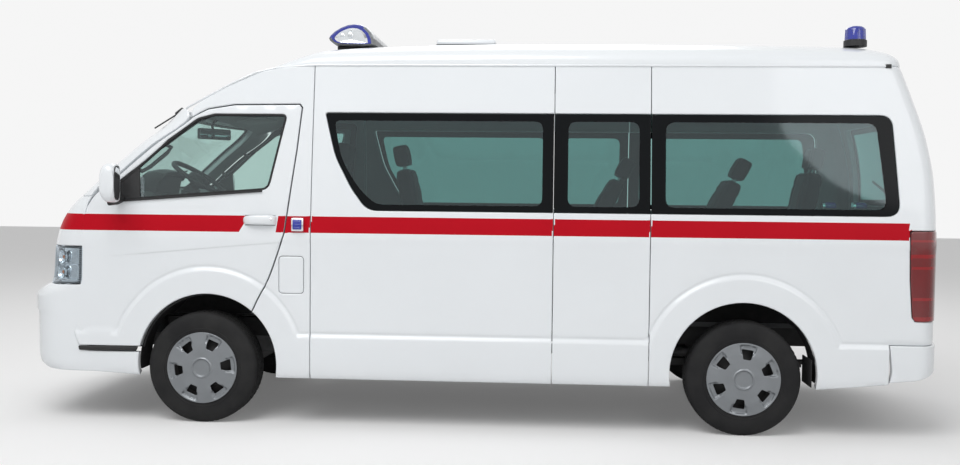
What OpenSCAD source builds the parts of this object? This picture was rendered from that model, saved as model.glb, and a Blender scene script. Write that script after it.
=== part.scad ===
/* [Body] */
// Length over the bumpers
body_length = 5380; // [5340:10:5420]
// Width over the side panels
body_width = 1876; // [1860:4:1890]
// Height of the roof's crown above the ground
roof_height = 2285; // [2275:5:2295]
// Thickness of the side walls, doors and roof
wall = 52; // [46:2:56]
// Gap round every door and lid
gap = 8; // [7:1:9]

/* [Wheels] */
// Distance between the axles
wheelbase = 3110; // [3100:5:3120]
// X of the front axle
front_axle_x = -1575; // [-1580:5:-1570]
// Outer diameter of the tyres
tyre_d = 650; // [644:2:656]
// Width of the tyres
tyre_w = 195; // [185:5:200]
// Distance between the tyre centres on one axle
track = 1650; // [1640:5:1655]
// Radius of the wheel arches
arch_r = 410; // [405:5:415]

/* [Cab] */
// Diameter of the steering wheel
steering_wheel_d = 390; // [370:10:400]
// Rake of the steering wheel's axis above the horizontal
steering_rake = 58; // [54:1:62]
// Height of the cab deck that carries the front seats
cab_deck_z = 800; // [795:5:805]
// Height of the load floor
load_floor_z = 600; // [595:5:605]

/* [Hidden] */
$fn = 64;

half_l = body_length / 2;
half_w = body_width / 2;
rear_axle_x = front_axle_x + wheelbase;
hub_z = tyre_d / 2 - 3;
wheel_y = track / 2;
reach = 4000;

white = "#e9edf0";
glass_tint = [0.55, 0.68, 0.67, 0.5];
black = "#1c1d1f";
grey = "#6c7075";
silver = "#b9bdc2";
blue = "#1a35c8";
red = "#a80d18";
maroon = "#3f1a1f";

// ---- outlines ----

function unit(v) = v / norm(v);

// An outline moved outwards by g, with mitred corners; its points run anticlockwise
function grow(points, g) = [
    for (i = [0 : len(points) - 1])
    let (
        here = points[i],
        before = points[(i + len(points) - 1) % len(points)],
        after = points[(i + 1) % len(points)],
        u = unit(here - before),
        v = unit(after - here),
        n = [u.y, -u.x],
        m = [v.y, -v.x]
    )
    here + g * (n + m) / (1 + n * m)
];

// Quarter of a superellipse of half axes a and b, from [a, 0] round to [0, b]
function quarter(a, b, power, steps) = [
    for (i = [0 : steps])
    let (t = 90 * i / steps)
    [a * pow(cos(t), 2 / power), b * pow(sin(t), 2 / power)]
];

function reversed(points) = [for (i = [len(points) - 1 : -1 : 0]) points[i]];
function flipped(points) = [for (p = reversed(points)) [-p.x, p.y]];

// Arc of radius r round c, from angle a to angle b
function arc(c, r, a, b, steps) = [
    for (i = [0 : steps])
    let (t = a + (b - a) * i / steps)
    c + r * [cos(t), sin(t)]
];

// Side of the body's cross-section, as [height, how far inside the full width]
tuck = [
    [250, 38], [300, 6], [530, 2], [1070, 0], [1250, 12], [1560, 42], [1810, 72], [1920, 88], [2095, 108]
];
gutter_z = 2095;
gutter_w = half_w - 108;

function section(inset, bottom) = let (
    side = concat([[half_w - tuck[0][1] - inset, bottom]],
        [for (t = tuck) [half_w - t[1] - inset, t[0]]]),
    top = [for (p = quarter(gutter_w - inset, roof_height - gutter_z - inset, 2.7, 8))
        if (p.y > 1) [p.x, gutter_z + p.y]],
    right = concat(side, [for (p = top) if (p.x > 1) p])
) concat(right, [[0, roof_height - inset]], flipped(right));

// Plan of the body, with a rounded nose at -X and a squarer tail at +X
nose_depth = 410;
nose_power = 3.6;
tail_depth = 200;
function plan(inset) = let (
    nose = [for (p = quarter(nose_depth - inset, half_w - inset, nose_power, 9))
        [-half_l + nose_depth - p.x, p.y]],
    tail = [for (p = quarter(tail_depth - inset, half_w - inset, 5, 8))
        [half_l - tail_depth + p.x, p.y]],
    upper = concat(tail, reversed(nose))
) concat(upper, [for (p = reversed(upper)) if (abs(p.y) > 1) [p.x, -p.y]]);

// Outline of the body from the side, anticlockwise from the bottom of the front bumper
nose_top = [-2495, 1247];
screen_foot = [-2356, 1365];
screen_head = [-1830, 1855];
profile = [
    [-half_l + 104, 297], [-half_l + 80, 285], [-1900, 262], [1900, 270], [2330, 322], [2640, 366],
    [half_l, 420], [half_l, 530], [2655, 560], [2656, 1204], [2645, 1441], [2605, 1678],
    [2535, 1902], [2449, 2127], [2400, 2200], [2330, 2240], [2200, roof_height - 29],
    [1200, roof_height - 4], [300, roof_height], [-468, roof_height - 30], [-900, roof_height - 51],
    [-1145, 2161], [-1455, 2037], screen_head, screen_foot, nose_top, [-2560, 1100], [-2590, 1000],
    [-2600, 820], [-half_l, 735], [-half_l, 645], [-half_l + 14, 630], [-half_l + 18, 350]
];

screen_rake = atan2(screen_head.y - screen_foot.y, screen_head.x - screen_foot.x);
screen_bow = 300;

module prism_x(points) {
    rotate([90, 0, 90])
    translate([0, 0, -reach])
    linear_extrude(2 * reach) polygon(points);
}

module prism_y(points, y0 = -reach, y1 = reach) {
    rotate([90, 0, 0])
    translate([0, 0, -y1])
    linear_extrude(y1 - y0) polygon(points);
}

module prism_z(points) {
    translate([0, 0, -reach])
    linear_extrude(2 * reach) polygon(points);
}

// Everything behind the bowed windscreen, whose section runs square to its rake
module behind_screen(inset) {
    bow = [for (y = [-900 : 150 : 900])
        [inset + sin(screen_rake) * screen_bow * (1 - pow(1 - pow(abs(y) / 1000, 2.5), 0.4)), y]];
    translate([screen_foot.x, 0, screen_foot.y])
    rotate([0, 90 - screen_rake, 0])
    translate([0, 0, -reach])
    linear_extrude(2 * reach) polygon(concat([[6000, -1000], [6000, 1000]],
        [[bow[len(bow) - 1].x + 70, 1000]], reversed(bow), [[bow[0].x + 70, -1000]]));
}

// The whole body as one block, shrunk by inset; bottom is how far down it goes
module body_block(inset, bottom = 250) {
    intersection() {
        prism_x(section(inset, bottom));
        prism_z(plan(inset));
        prism_y(inset > 30 ? grow(concat([[-half_l + 104, 0]], [[half_l, 0]],
            [for (i = [7 : len(profile) - 1]) profile[i]]), -inset) : grow(profile, -inset));
        behind_screen(inset);
    }
}

module skin(outer = 0, inner = wall) {
    difference() {
        body_block(outer);
        body_block(inner, 100);
    }
}

// ---- outlines of doors and windows, from the side ----

arch_x = [front_axle_x + 33, rear_axle_x - 6];
arch_z = 347;

door_outline = concat(
    [[-2250, 445]],
    arc([arch_x[0], arch_z], arch_r, 166.2, 50, 9),
    [[-1120, 1050], [-1090, 1100], [-1007, 1840], [-1020, 1856], [-1400, 1852], [-1556, 1827],
     [-1660, 1776], [-1869, 1620], [-2079, 1433], [-2180, 1372], [-2225, 1330], [-2252, 1265],
     [-2265, 1180], [-2265, 520]]
);

door_window = [
    [-2072, 1290], [-2040, 1272], [-1215, 1362], [-1183, 1385], [-1092, 1770], [-1110, 1803],
    [-1520, 1803], [-1617, 1778], [-1788, 1649], [-1968, 1486], [-2072, 1400]
];

seam_x = [-936, 457, 1003];
band_low = 1250;
band_high = 1810;

function rounded_box(x0, z0, x1, z1, r) = concat(
    arc([x0 + r, z0 + r], r, 180, 270, 3), arc([x1 - r, z0 + r], r, 270, 360, 3),
    arc([x1 - r, z1 - r], r, 0, 90, 3), arc([x0 + r, z1 - r], r, 90, 180, 3));

// Glass outlines, front to rear; the first has a raked front edge
glass_band = [
    [[-857, 1810], [-790, 1560], [-700, 1400], [-610, 1290], [-520, band_low],
     [seam_x[1] - 4, band_low], [seam_x[1] - 4, band_high]],
    [[seam_x[1] + 4, band_low], [seam_x[2] - 4, band_low], [seam_x[2] - 4, band_high],
     [seam_x[1] + 4, band_high]],
    [[seam_x[2] + 4, band_low], [2310, band_low], [2355, 1275], [2367, 1330], [2345, 1740],
     [2323, 1790], [2290, band_high], [seam_x[2] + 4, band_high]]
];
clear_pane = [
    [[-807, 1740], [-770, 1560], [-680, 1410], [-600, 1325], [-500, 1284], [350, 1284],
     [391, 1325], [391, 1727], [350, 1767], [-780, 1767]],
    rounded_box(536, 1284, 937, 1767, 50),
    [[1125, 1284], [2250, 1284], [2290, 1325], [2245, 1700], [2195, 1767], [1125, 1767],
     [1085, 1727], [1085, 1325]]
];

// The gutter line, which parts the roof from the body below it
gutter_line = [
    [-2100, 1866], [-1900, 1866], [-1678, 1850], [-1414, 1987], [-1283, 2046], [-1154, 2078],
    [-933, gutter_z], [reach, gutter_z]
];
above_gutter = concat(gutter_line, [[reach, 3000], [-2100, 3000]]);

// Tailgate, seen from behind
tailgate_w = 815;
tailgate_low = 555;
tailgate_high = 2140;
function tailgate_half(g) = [
    [tailgate_w + g, tailgate_low - g], [tailgate_w + g, 1200], [tailgate_w - 30 + g, 1700],
    [tailgate_w - 70 + g, 2060], [tailgate_w - 140 + g, tailgate_high + g]
];
function tailgate_outline(g) = concat(tailgate_half(g), flipped(tailgate_half(g)));
tailgate_window = [[690, 1285], [655, 1830], [600, 1880], [-600, 1880], [-655, 1830], [-690, 1285]];

module tailgate_zone(g) {
    translate([2300, 0, 0])
    rotate([90, 0, 90]) linear_extrude(1000) polygon(tailgate_outline(g));
}

module left_half() {
    translate([-reach, -reach, -reach]) cube([2 * reach, reach, 2 * reach]);
}

module right_of(side) {
    if (side < 0) children();
    else mirror([0, 1, 0]) children();
}

module arch_cut() {
    for (x = arch_x)
    translate([x, -reach, arch_z])
    rotate([-90, 0, 0]) cylinder(h = 2 * reach, r = arch_r, $fn = 96);
}

// ---- outer panels ----

bumper_front_top = 800;
strip_z = 415;
bumper_seam = 2328;

// Left body side, from behind the front door to the tail, below the gutter
module body_side() {
    difference() {
        intersection() {
            skin();
            left_half();
            prism_y([[-1120, 200], [bumper_seam, 200], [bumper_seam, 530 + gap / 2],
                [2800, 530 + gap / 2], [2800, gutter_z], [-933, gutter_z], [-1154, 2078],
                [-1283, 2046], [-1414, 1987], [-1678, 1850], [-1640, 1750], [-1300, 600],
                [-1200, 500]]);
        }
        prism_y(grow(door_outline, gap), -reach, 0);
        tailgate_zone(gap);
        arch_cut();
        tail_lamp_zone(2);
        for (glass = glass_band) glass_rebate(glass);
        for (pane = clear_pane) prism_y(pane, -reach, 0);
    }
}

module glass_rebate(outline) {
    intersection() {
        prism_y(grow(outline, 4), -reach, -600);
        skin(-6, 10);
    }
}

lid_box = [-1118, 767, -976, 979];

module lid_zone(g, outer, inner) {
    intersection() {
        prism_y(grow(rounded_box(lid_box[0], lid_box[1], lid_box[2], lid_box[3], 22), g), -reach, 0);
        skin(outer, inner);
    }
}

module left_side_panel() {
    color(white)
    difference() {
        body_side();
        lid_zone(gap - 2, -5, 34);
    }
}

module fuel_lid() {
    color(white) lid_zone(0, 0, 12);
}

slider_outline = [[seam_x[0], 300], [seam_x[1], 300], [seam_x[1], 2070], [seam_x[0], 2070]];

module right_side_panel() {
    color(white)
    mirror([0, 1, 0])
    difference() {
        body_side();
        prism_y(slider_outline, -reach, 0);
    }
}

module sliding_door() {
    color(white)
    mirror([0, 1, 0])
    intersection() {
        body_side();
        prism_y(grow(slider_outline, -5), -reach, 0);
    }
}

module roof_panel() {
    color(white)
    difference() {
        intersection() {
            skin();
            prism_y(above_gutter);
        }
        tailgate_zone(gap);
    }
}

screen_outline = [[800, 1345], [720, 1835], [680, 1850], [-680, 1850], [-720, 1835], [-800, 1345]];
cowl_z = 1315;

module screen_zone(points) {
    translate([-3000, 0, 0])
    rotate([90, 0, 90]) linear_extrude(1500) polygon(points);
}

// Windscreen pillars, header and cowl
module cab_frame() {
    color(white)
    difference() {
        intersection() {
            skin();
            prism_y([[-2800, cowl_z], [-1900, cowl_z], [-1700, 1700], [-1640, 1750], [-1678, 1850],
                [-1900, 1866], [-2100, 1866], [-2800, 1866]]);
        }
        prism_y(grow(door_outline, gap));
        body_side_edge();
        screen_zone(screen_outline);
    }
}

// Keeps the pillars clear of the body side where they meet above the door
module body_side_edge() {
    prism_y([[-1678, 1850], [-1640, 1750], [-1000, 1750], [-1000, 1900]]);
}

module windscreen() {
    color(glass_tint)
    intersection() {
        skin(3, 9);
        screen_zone(screen_outline);
    }
}

module nose_panel() {
    color(white)
    difference() {
        intersection() {
            skin();
            prism_y([[-2800, bumper_front_top], [-2000, bumper_front_top], [-2000, cowl_z - 2],
                [-2800, cowl_z - 2]]);
        }
        prism_y(grow(door_outline, gap));
        headlight_zone(0);
        grille_zone(0);
    }
}

lamp_inner = 520;
lamp_low = 800;
lamp_high = 1020;

module headlight_zone(g) {
    for (side = [-1, 1]) right_of(side)
    translate([-3000, -reach, lamp_low - 1 + g])
    cube([3000 - 2275 - g, reach - lamp_inner - g, lamp_high - lamp_low + 1 - 2 * g]);
}

module headlights() {
    color("#d6dde2", 0.7)
    intersection() {
        skin(0, 48);
        headlight_zone(1);
    }
}

module grille_zone(g) {
    translate([-3000, -lamp_inner + 12 + g, 868 + g])
    cube([1000, 2 * (lamp_inner - 12 - g), 150 - 2 * g]);
}

// Frame of the grille with level bars
module grille() {
    color(silver)
    difference() {
        intersection() {
            skin(2, 30);
            grille_zone(1);
        }
        for (i = [0 : 2])
        translate([-3000, -490, 886 + 42 * i]) cube([1000, 980, 26]);
    }
}

// Holes that hold the number plate
plate_spacing = 210;
plate_hole_r = 3.5;

intake = [[-560, 385], [560, 385], [500, 520], [-500, 520]];

module front_bumper() {
    color(white)
    difference() {
        intersection() {
            skin();
            prism_y([[-2800, 200], [-1900, 200], [-1900, strip_z - 2], [-2200, strip_z - 2],
                [-2240, 470], [-2240, bumper_front_top - 3], [-2800, bumper_front_top - 3]]);
        }
        arch_cut();
        prism_y(grow(door_outline, gap));
        screen_zone(intake);
    }
}

module rear_bumper() {
    color(white)
    difference() {
        intersection() {
            skin();
            prism_y([[bumper_seam + 4, 200], [2800, 200], [2800, 530], [bumper_seam + 4, 530]]);
        }
        for (y = [-plate_spacing / 2, plate_spacing / 2])
        translate([2550, y, 470]) rotate([0, 90, 0]) cylinder(h = 300, r = plate_hole_r, $fn = 32);
    }
}

module tail_lamp_zone(g) {
    right_of(-1)
    translate([2432 - g, -reach, 668 - g])
    cube([1000, reach - tailgate_w - gap - 2 + g, 502 + 2 * g]);
}

module tail_lamps() {
    color(red)
    for (side = [-1, 1]) right_of(side)
    intersection() {
        skin(0, 46);
        tail_lamp_zone(0);
    }
}

// ---- doors ----

module door_panel(side) {
    color(white)
    right_of(side)
    difference() {
        intersection() {
            skin();
            prism_y(door_outline, -reach, -300);
        }
        prism_y(door_window, -reach, 0);
    }
}

module door_glass(side) {
    color(glass_tint)
    right_of(side)
    intersection() {
        skin(14, 19);
        prism_y(door_window, -reach, -300);
    }
}

mirror_x = -2075;

module door_mirror(side) {
    color(white)
    right_of(side)
    difference() {
        translate([mirror_x, 0, 0]) union() {
            translate([-60, -1140, 1275]) cube([105, 170, 235]);
            translate([-45, -1120, 1290]) rotate([0, -12, 0]) cube([60, 130, 200]);
            translate([-30, -980, 1300]) cube([50, 84, 60]);
        }
        body_block(0);
    }
}

module front_door_left() { door_panel(-1); }
module front_door_right() { door_panel(1); }
module door_glass_left() { door_glass(-1); }
module door_glass_right() { door_glass(1); }
module mirror_left() { door_mirror(-1); }
module mirror_right() { door_mirror(1); }

module tailgate() {
    color(white)
    difference() {
        intersection() {
            skin();
            tailgate_zone(0);
        }
        translate([2200, 0, 0])
        rotate([90, 0, 90]) linear_extrude(1000) polygon(tailgate_window);
    }
}

module tailgate_glass() {
    color(glass_tint)
    intersection() {
        skin(4, 9);
        translate([2300, 0, 0])
        rotate([90, 0, 90]) linear_extrude(1000) polygon(tailgate_window);
    }
}

module side_glass(side) {
    color(glass_tint)
    right_of(side)
    for (glass = glass_band)
    intersection() {
        skin(1, 8);
        prism_y(glass, -reach, -600);
    }
}

module side_glass_left() { side_glass(-1); }
module side_glass_right() { side_glass(1); }

// ---- on the roof and sides ----

bar_x = -945;
bar_l = 300;
bar_w = 900;
bar_top = 2395;

module light_bar() {
    color(blue)
    difference() {
        prism_y([[bar_x + 60, 2200], [bar_x + bar_l - 30, 2200], [bar_x + bar_l - 30, 2295],
            [bar_x + bar_l, 2300], [bar_x + bar_l - 8, 2335], [bar_x + bar_l - 80, 2378],
            [bar_x + 150, bar_top], [bar_x + 50, 2370], [bar_x, 2315], [bar_x + 20, 2285],
            [bar_x + 60, 2280]], -bar_w / 2, bar_w / 2);
        body_block(-1);
    }
}

module roof_vent() {
    color(white)
    difference() {
        translate([-306, -230, 2200]) cube([396, 460, 130]);
        body_block(-1);
    }
}

module blue_lamps() {
    color(blue)
    difference() {
        union() {
            for (y = [-550, 550]) {
                translate([2142, y - 67, 2150]) cube([135, 134, 207]);
            }
            for (side = [-1, 1]) right_of(side)
            translate([-1045, -half_w - 20, 1125]) cube([73, 100, 78]);
        }
        body_block(-1);
    }
}

module wipers() {
    color(black)
    for (y = [-620, 60])
    translate([screen_foot.x, y, screen_foot.y])
    rotate([0, -screen_rake, 0])
    translate([0, 0, 8]) rotate([0, 0, 62]) cube([520, 16, 10]);
}

// ---- under the body ----

rail_y = 440;
// Towing eyes, front and rear: X and underside of each pair, their Y, bore radius and thickness
tow_x = [-2340, 2380];
tow_z = [385, 455];
tow_y = 515;
tow_r = 16;
tow_t = 14;

module floor_pan() {
    color(grey)
    difference() {
        prism_y([
            [-2480, 470], [-1985, 470], [-1985, cab_deck_z - 25], [-1080, cab_deck_z - 25],
            [-1080, load_floor_z - 30], [2560, load_floor_z - 30], [2560, load_floor_z],
            [-1050, load_floor_z], [-1050, cab_deck_z], [-2015, cab_deck_z], [-2015, 500],
            [-2480, 500]
        ], -862, 862);
        for (side = [-1, 1]) right_of(side)
        translate([arch_x[1], -1000, arch_z])
        rotate([-90, 0, 0]) cylinder(h = 460, r = arch_r + 16, $fn = 96);
        difference() {
            translate([-3000, -2000, 400]) cube([800, 4000, 200]);
            body_block(wall + 2, 100);
        }
    }
}

module chassis_frame() {
    color(black)
    difference() {
        union() {
            for (side = [-1, 1]) right_of(side) {
                translate([-1940, -rail_y - 35, 455]) cube([4440, 70, 112]);
                translate([-2400, -rail_y - 35, 385]) cube([520, 70, 80]);
                for (eye = [0, 1])
                translate([tow_x[eye] - 45, -tow_y - 45, tow_z[eye]]) cube([90, 90, tow_t]);
            }
            for (x = [-650, 400, 1100, 2000, 2430])
            translate([x, -rail_y, 470]) cube([60, 2 * rail_y, 70]);
            for (x = [-2395, -1950])
            translate([x, -rail_y, 390]) cube([60, 2 * rail_y, 60]);
        }
        for (side = [-1, 1]) right_of(side)
        for (eye = [0, 1])
        translate([tow_x[eye], -tow_y, tow_z[eye] - 10]) cylinder(h = tow_t + 20, r = tow_r, $fn = 48);
    }
}

module engine() {
    color(grey)
    union() {
        translate([-1570, -270, 330]) cube([470, 540, 430]);
        translate([-1100, -150, 330]) cube([390, 300, 225]);
    }
}

module exhaust() {
    color(silver)
    union() {
        translate([-1000, 250, 420]) rotate([0, 90, 0]) cylinder(h = 3540, r = 24, $fn = 32);
        translate([480, 250, 420]) rotate([0, 90, 0]) cylinder(h = 600, r = 75, $fn = 48);
    }
}

module fuel_tank() {
    color(black) translate([-650, -400, 270]) cube([950, 300, 175]);
}

axle_r = 42;

module rear_axle() {
    color(black)
    union() {
        translate([rear_axle_x, -wheel_y + 75, hub_z]) rotate([-90, 0, 0])
        cylinder(h = track - 150, r = axle_r, $fn = 48);
        for (side = [-1, 1]) right_of(side) {
            translate([rear_axle_x, -wheel_y - 20, hub_z]) rotate([-90, 0, 0])
            cylinder(h = 120, r = 22, $fn = 48);
            translate([rear_axle_x, -wheel_y + 48, hub_z]) rotate([-90, 0, 0])
            cylinder(h = 30, r = 120, $fn = 64);
            translate([rear_axle_x - 620, -570, hub_z + 38]) cube([1250, 60, 22]);
            translate([rear_axle_x - 400, -570, hub_z + 20]) cube([800, 60, 20]);
        }
        translate([rear_axle_x - 130, 0, hub_z]) rotate([0, 90, 0])
        cylinder(h = 250, r = 130, $fn = 64);
    }
}

module propeller_shaft() {
    color(grey)
    translate([-709, 0, hub_z + 20]) rotate([0, 90, 0])
    cylinder(h = rear_axle_x + 709 - 131, r = 32, $fn = 40);
}

kingpin_y = wheel_y - 95;

module front_suspension() {
    color(black)
    union() {
        translate([front_axle_x - 90, -330, 230]) cube([180, 660, 80]);
        for (side = [-1, 1]) right_of(side) {
            difference() {
                union() {
                    translate([front_axle_x - 28, -kingpin_y, 190]) cube([56, kingpin_y - 300, 41]);
                    translate([front_axle_x, -kingpin_y, 190]) cylinder(h = 40, r = 30, $fn = 48);
                    translate([front_axle_x - 25, -kingpin_y, 425]) cube([50, 200, 26]);
                    translate([front_axle_x - 25, -kingpin_y + 175, 425])
                    cube([50, kingpin_y - 175 - rail_y - 35, 80]);
                    translate([front_axle_x, -kingpin_y, 425]) cylinder(h = 26, r = 29, $fn = 48);
                }
                translate([front_axle_x, -kingpin_y, 100]) cylinder(h = 500, r = 18.5, $fn = 48);
            }
        }
    }
}

module knuckle(side) {
    color(grey)
    right_of(side)
    union() {
        translate([front_axle_x, -kingpin_y, 184]) cylinder(h = 274, r = 18, $fn = 48);
        translate([front_axle_x, -kingpin_y, 237]) cylinder(h = 182, r = 26, $fn = 48);
        translate([front_axle_x, -wheel_y - 20, hub_z]) rotate([-90, 0, 0])
        cylinder(h = 115, r = 22, $fn = 48);
        translate([front_axle_x, -wheel_y + 48, hub_z]) rotate([-90, 0, 0])
        cylinder(h = 9, r = 84, $fn = 64);
    }
}

module knuckle_left() { knuckle(-1); }
module knuckle_right() { knuckle(1); }

// ---- wheels ----

bead_r = 190;
cap_r = 208;
hole_r = 22.5;

module wheel_axis(x, side) {
    right_of(side)
    translate([x, -wheel_y, hub_z])
    rotate([90, 0, 0]) children();
}

// Disc wheel under its cover, with six openings; its outer face looks along +Z
module rim(x, side) {
    color(silver)
    wheel_axis(x, side)
    difference() {
        rotate_extrude($fn = 96) polygon([
            [hole_r, -34], [hole_r + 40, -40], [hole_r + 46, 34], [bead_r - 30, 30],
            [bead_r - 16, -84], [bead_r, -92], [bead_r, 84], [cap_r, 84],
            [cap_r, 92], [bead_r - 6, 96], [150, 60], [60, 62], [hole_r + 30, 74],
            [hole_r, 74]
        ]);
        for (i = [0 : 5])
        rotate([0, 0, 60 * i])
        translate([0, 0, -10])
        linear_extrude(200) polygon([[104, -26], [168, -44], [176, 0], [168, 44], [104, 26]]);
    }
}

module tyre(x, side) {
    color(black)
    wheel_axis(x, side)
    rotate_extrude($fn = 96) polygon([
        [bead_r + 1, -80], [bead_r + 12, -94],
        [bead_r + 60, -tyre_w / 2], [tyre_d / 2 - 36, -tyre_w / 2 + 6],
        [tyre_d / 2 - 8, -tyre_w / 2 + 26], [tyre_d / 2, -tyre_w / 2 + 50],
        [tyre_d / 2, tyre_w / 2 - 50], [tyre_d / 2 - 8, tyre_w / 2 - 26],
        [tyre_d / 2 - 36, tyre_w / 2 - 6],
        [bead_r + 60, tyre_w / 2], [bead_r + 19, 93], [bead_r + 19, 82], [bead_r + 1, 80]
    ]);
}

module rim_front_left() { rim(front_axle_x, -1); }
module rim_front_right() { rim(front_axle_x, 1); }
module rim_rear_left() { rim(rear_axle_x, -1); }
module rim_rear_right() { rim(rear_axle_x, 1); }
module tyre_front_left() { tyre(front_axle_x, -1); }
module tyre_front_right() { tyre(front_axle_x, 1); }
module tyre_rear_left() { tyre(rear_axle_x, -1); }
module tyre_rear_right() { tyre(rear_axle_x, 1); }

liner_in = 545;

module arch_liners() {
    color(black)
    for (x = arch_x) for (side = [-1, 1]) right_of(side)
    difference() {
        translate([x, -862, arch_z]) rotate([-90, 0, 0])
        cylinder(h = 862 - liner_in, r = arch_r + 14, $fn = 96);
        translate([x, -900, arch_z]) rotate([-90, 0, 0])
        cylinder(h = 900 - liner_in - 6, r = arch_r + 6, $fn = 96);
        translate([x - 600, -1000, -400]) cube([1200, 800, 400 + 300]);
        translate([x - 600, -700, 200]) cube([1200, 300, 400]);
    }
}

// ---- inside ----

dash_half_w = 770;

module dashboard() {
    color(grey)
    difference() {
        prism_y([[-2400, 1060], [-2080, 950], [-1960, 980], [-1900, 1120], [-1930, 1330], [-2060, 1375],
            [-2240, 1375], [-2400, 1300]], -dash_half_w, dash_half_w);
        difference() {
            translate([-3000, -2000, 900]) cube([1500, 4000, 500]);
            body_block(wall + 8, 100);
        }
        steering_place() translate([0, 0, -400]) cylinder(h = 600, r = 45, $fn = 48);
    }
}

steering_y = -420;
steering_centre = [-1760, 1430];

module steering_place() {
    translate([steering_centre.x, steering_y, steering_centre.y])
    rotate([0, 90 - steering_rake, 0]) children();
}

module steering_wheel() {
    color(black)
    steering_place()
    union() {
        rotate_extrude($fn = 96) translate([steering_wheel_d / 2 - 15, 0]) circle(r = 15, $fn = 32);
        translate([0, 0, -40]) cylinder(h = 36, r = 62, $fn = 64);
        for (a = [-20, 90, 200]) rotate([0, 0, a])
        translate([40, -14, -28]) cube([steering_wheel_d / 2 - 50, 28, 16]);
        translate([0, 0, -390]) cylinder(h = 360, r = 20, $fn = 48);
    }
}

// ---- seats ----

seat_l = 500;
cushion_t = 130;
back_t = 110;
back_h = 545;
headrest_w = 260;
front_seat_x = -1390;
seat_y_front = 420;
rear_seat_y = 500;
facing_back_x = -220;
// Forward-facing seats, as [X, lean of the back]
rear_rows = [[400, 28], [1190, 28], [1850, 12]];

// Seat facing -X on its cushion's underside; lean is the tilt of its back
module seat(width, lean) {
    translate([-seat_l / 2, -width / 2, 0]) cube([seat_l, width, cushion_t]);
    translate([seat_l / 2 - 50, -width / 2, cushion_t - 30])
    rotate([0, lean, 0]) {
        cube([back_t, width, back_h]);
        translate([15, (width - headrest_w) / 2, back_h - 5]) cube([90, headrest_w, 170]);
    }
}

module pedestal(length, width, height) {
    translate([-length / 2, -180, -height]) cube([length, width, height + 5]);
}

module front_seats() {
    color(maroon)
    for (y = [-seat_y_front, seat_y_front])
    translate([front_seat_x, y, cab_deck_z + 110])
    union() {
        seat(500, 12);
        pedestal(400, 360, 110);
    }
}

// A row of seats that face forwards, behind one that faces the rear
module rear_seats() {
    color(maroon) {
        for (row = rear_rows)
        translate([row[0], rear_seat_y, load_floor_z + 300])
        union() {
            seat(450, row[1]);
            pedestal(360, 215, 300);
        }
        translate([facing_back_x, rear_seat_y, load_floor_z + 300]) mirror([1, 0, 0])
        union() {
            seat(450, 12);
            pedestal(360, 215, 300);
        }
    }
}

floor_pan();
chassis_frame();
engine();
exhaust();
fuel_tank();
rear_axle();
propeller_shaft();
front_suspension();
knuckle_left();
knuckle_right();
rim_front_left();
rim_front_right();
rim_rear_left();
rim_rear_right();
tyre_front_left();
tyre_front_right();
tyre_rear_left();
tyre_rear_right();
left_side_panel();
right_side_panel();
sliding_door();
roof_panel();
cab_frame();
windscreen();
side_glass_left();
side_glass_right();
nose_panel();
grille();
headlights();
front_bumper();
rear_bumper();
tail_lamps();
front_door_left();
front_door_right();
door_glass_left();
door_glass_right();
mirror_left();
mirror_right();
tailgate();
tailgate_glass();
fuel_lid();
light_bar();
roof_vent();
blue_lamps();
wipers();
arch_liners();
dashboard();
steering_wheel();
front_seats();
rear_seats();
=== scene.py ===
"""Looks of the high-roof ambulance van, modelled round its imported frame."""
import math

import bmesh
import bpy
import numpy as np
from mathutils import Matrix, Vector, geometry


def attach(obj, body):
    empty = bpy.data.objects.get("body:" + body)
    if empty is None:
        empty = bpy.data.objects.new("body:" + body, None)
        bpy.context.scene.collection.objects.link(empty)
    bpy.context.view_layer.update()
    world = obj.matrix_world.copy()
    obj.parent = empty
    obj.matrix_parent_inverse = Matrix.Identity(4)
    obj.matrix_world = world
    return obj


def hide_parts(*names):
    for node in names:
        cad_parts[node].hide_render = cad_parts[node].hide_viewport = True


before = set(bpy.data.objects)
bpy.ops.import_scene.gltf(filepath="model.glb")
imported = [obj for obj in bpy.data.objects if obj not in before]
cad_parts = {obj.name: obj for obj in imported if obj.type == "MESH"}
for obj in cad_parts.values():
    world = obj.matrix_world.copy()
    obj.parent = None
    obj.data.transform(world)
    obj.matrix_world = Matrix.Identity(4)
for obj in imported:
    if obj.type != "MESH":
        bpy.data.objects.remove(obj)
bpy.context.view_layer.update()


# ---- camera: level with the windows, a little behind the middle, as in the photograph ----

CAMERA_AT = (0.444, -6.87, 1.35)
CAMERA_YAW = 3.88
CAMERA_PITCH = -2.1
CAMERA_ROLL = 0.6
FOCAL_SHARE = 1048 / 960

camera_data = bpy.data.cameras.new("camera")
camera_data.sensor_width = 36.0
camera_data.lens = 36.0 * FOCAL_SHARE
camera = bpy.data.objects.new("camera", camera_data)
camera.matrix_world = (
    Matrix.Translation(CAMERA_AT)
    @ Matrix.Rotation(math.radians(CAMERA_YAW), 4, "Z")
    @ Matrix.Rotation(math.radians(90 + CAMERA_PITCH), 4, "X")
    @ Matrix.Rotation(math.radians(CAMERA_ROLL), 4, "Z")
)
bpy.context.scene.collection.objects.link(camera)
bpy.context.scene.camera = camera

# ---- materials ----


def new_material(name, color, roughness, metallic=0.0, coat=0.0, **sockets):
    """A Principled material; returns it with its node tree and shader node."""
    made = bpy.data.materials.new(name)
    made.use_nodes = True
    tree = made.node_tree
    shader = tree.nodes["Principled BSDF"]
    shader.inputs["Base Color"].default_value = (*color, 1)
    shader.inputs["Roughness"].default_value = roughness
    shader.inputs["Metallic"].default_value = metallic
    shader.inputs["Coat Weight"].default_value = coat
    shader.inputs["Coat Roughness"].default_value = 0.06
    for key, value in sockets.items():
        shader.inputs[key.replace("_", " ")].default_value = value
    return made, tree, shader


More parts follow.
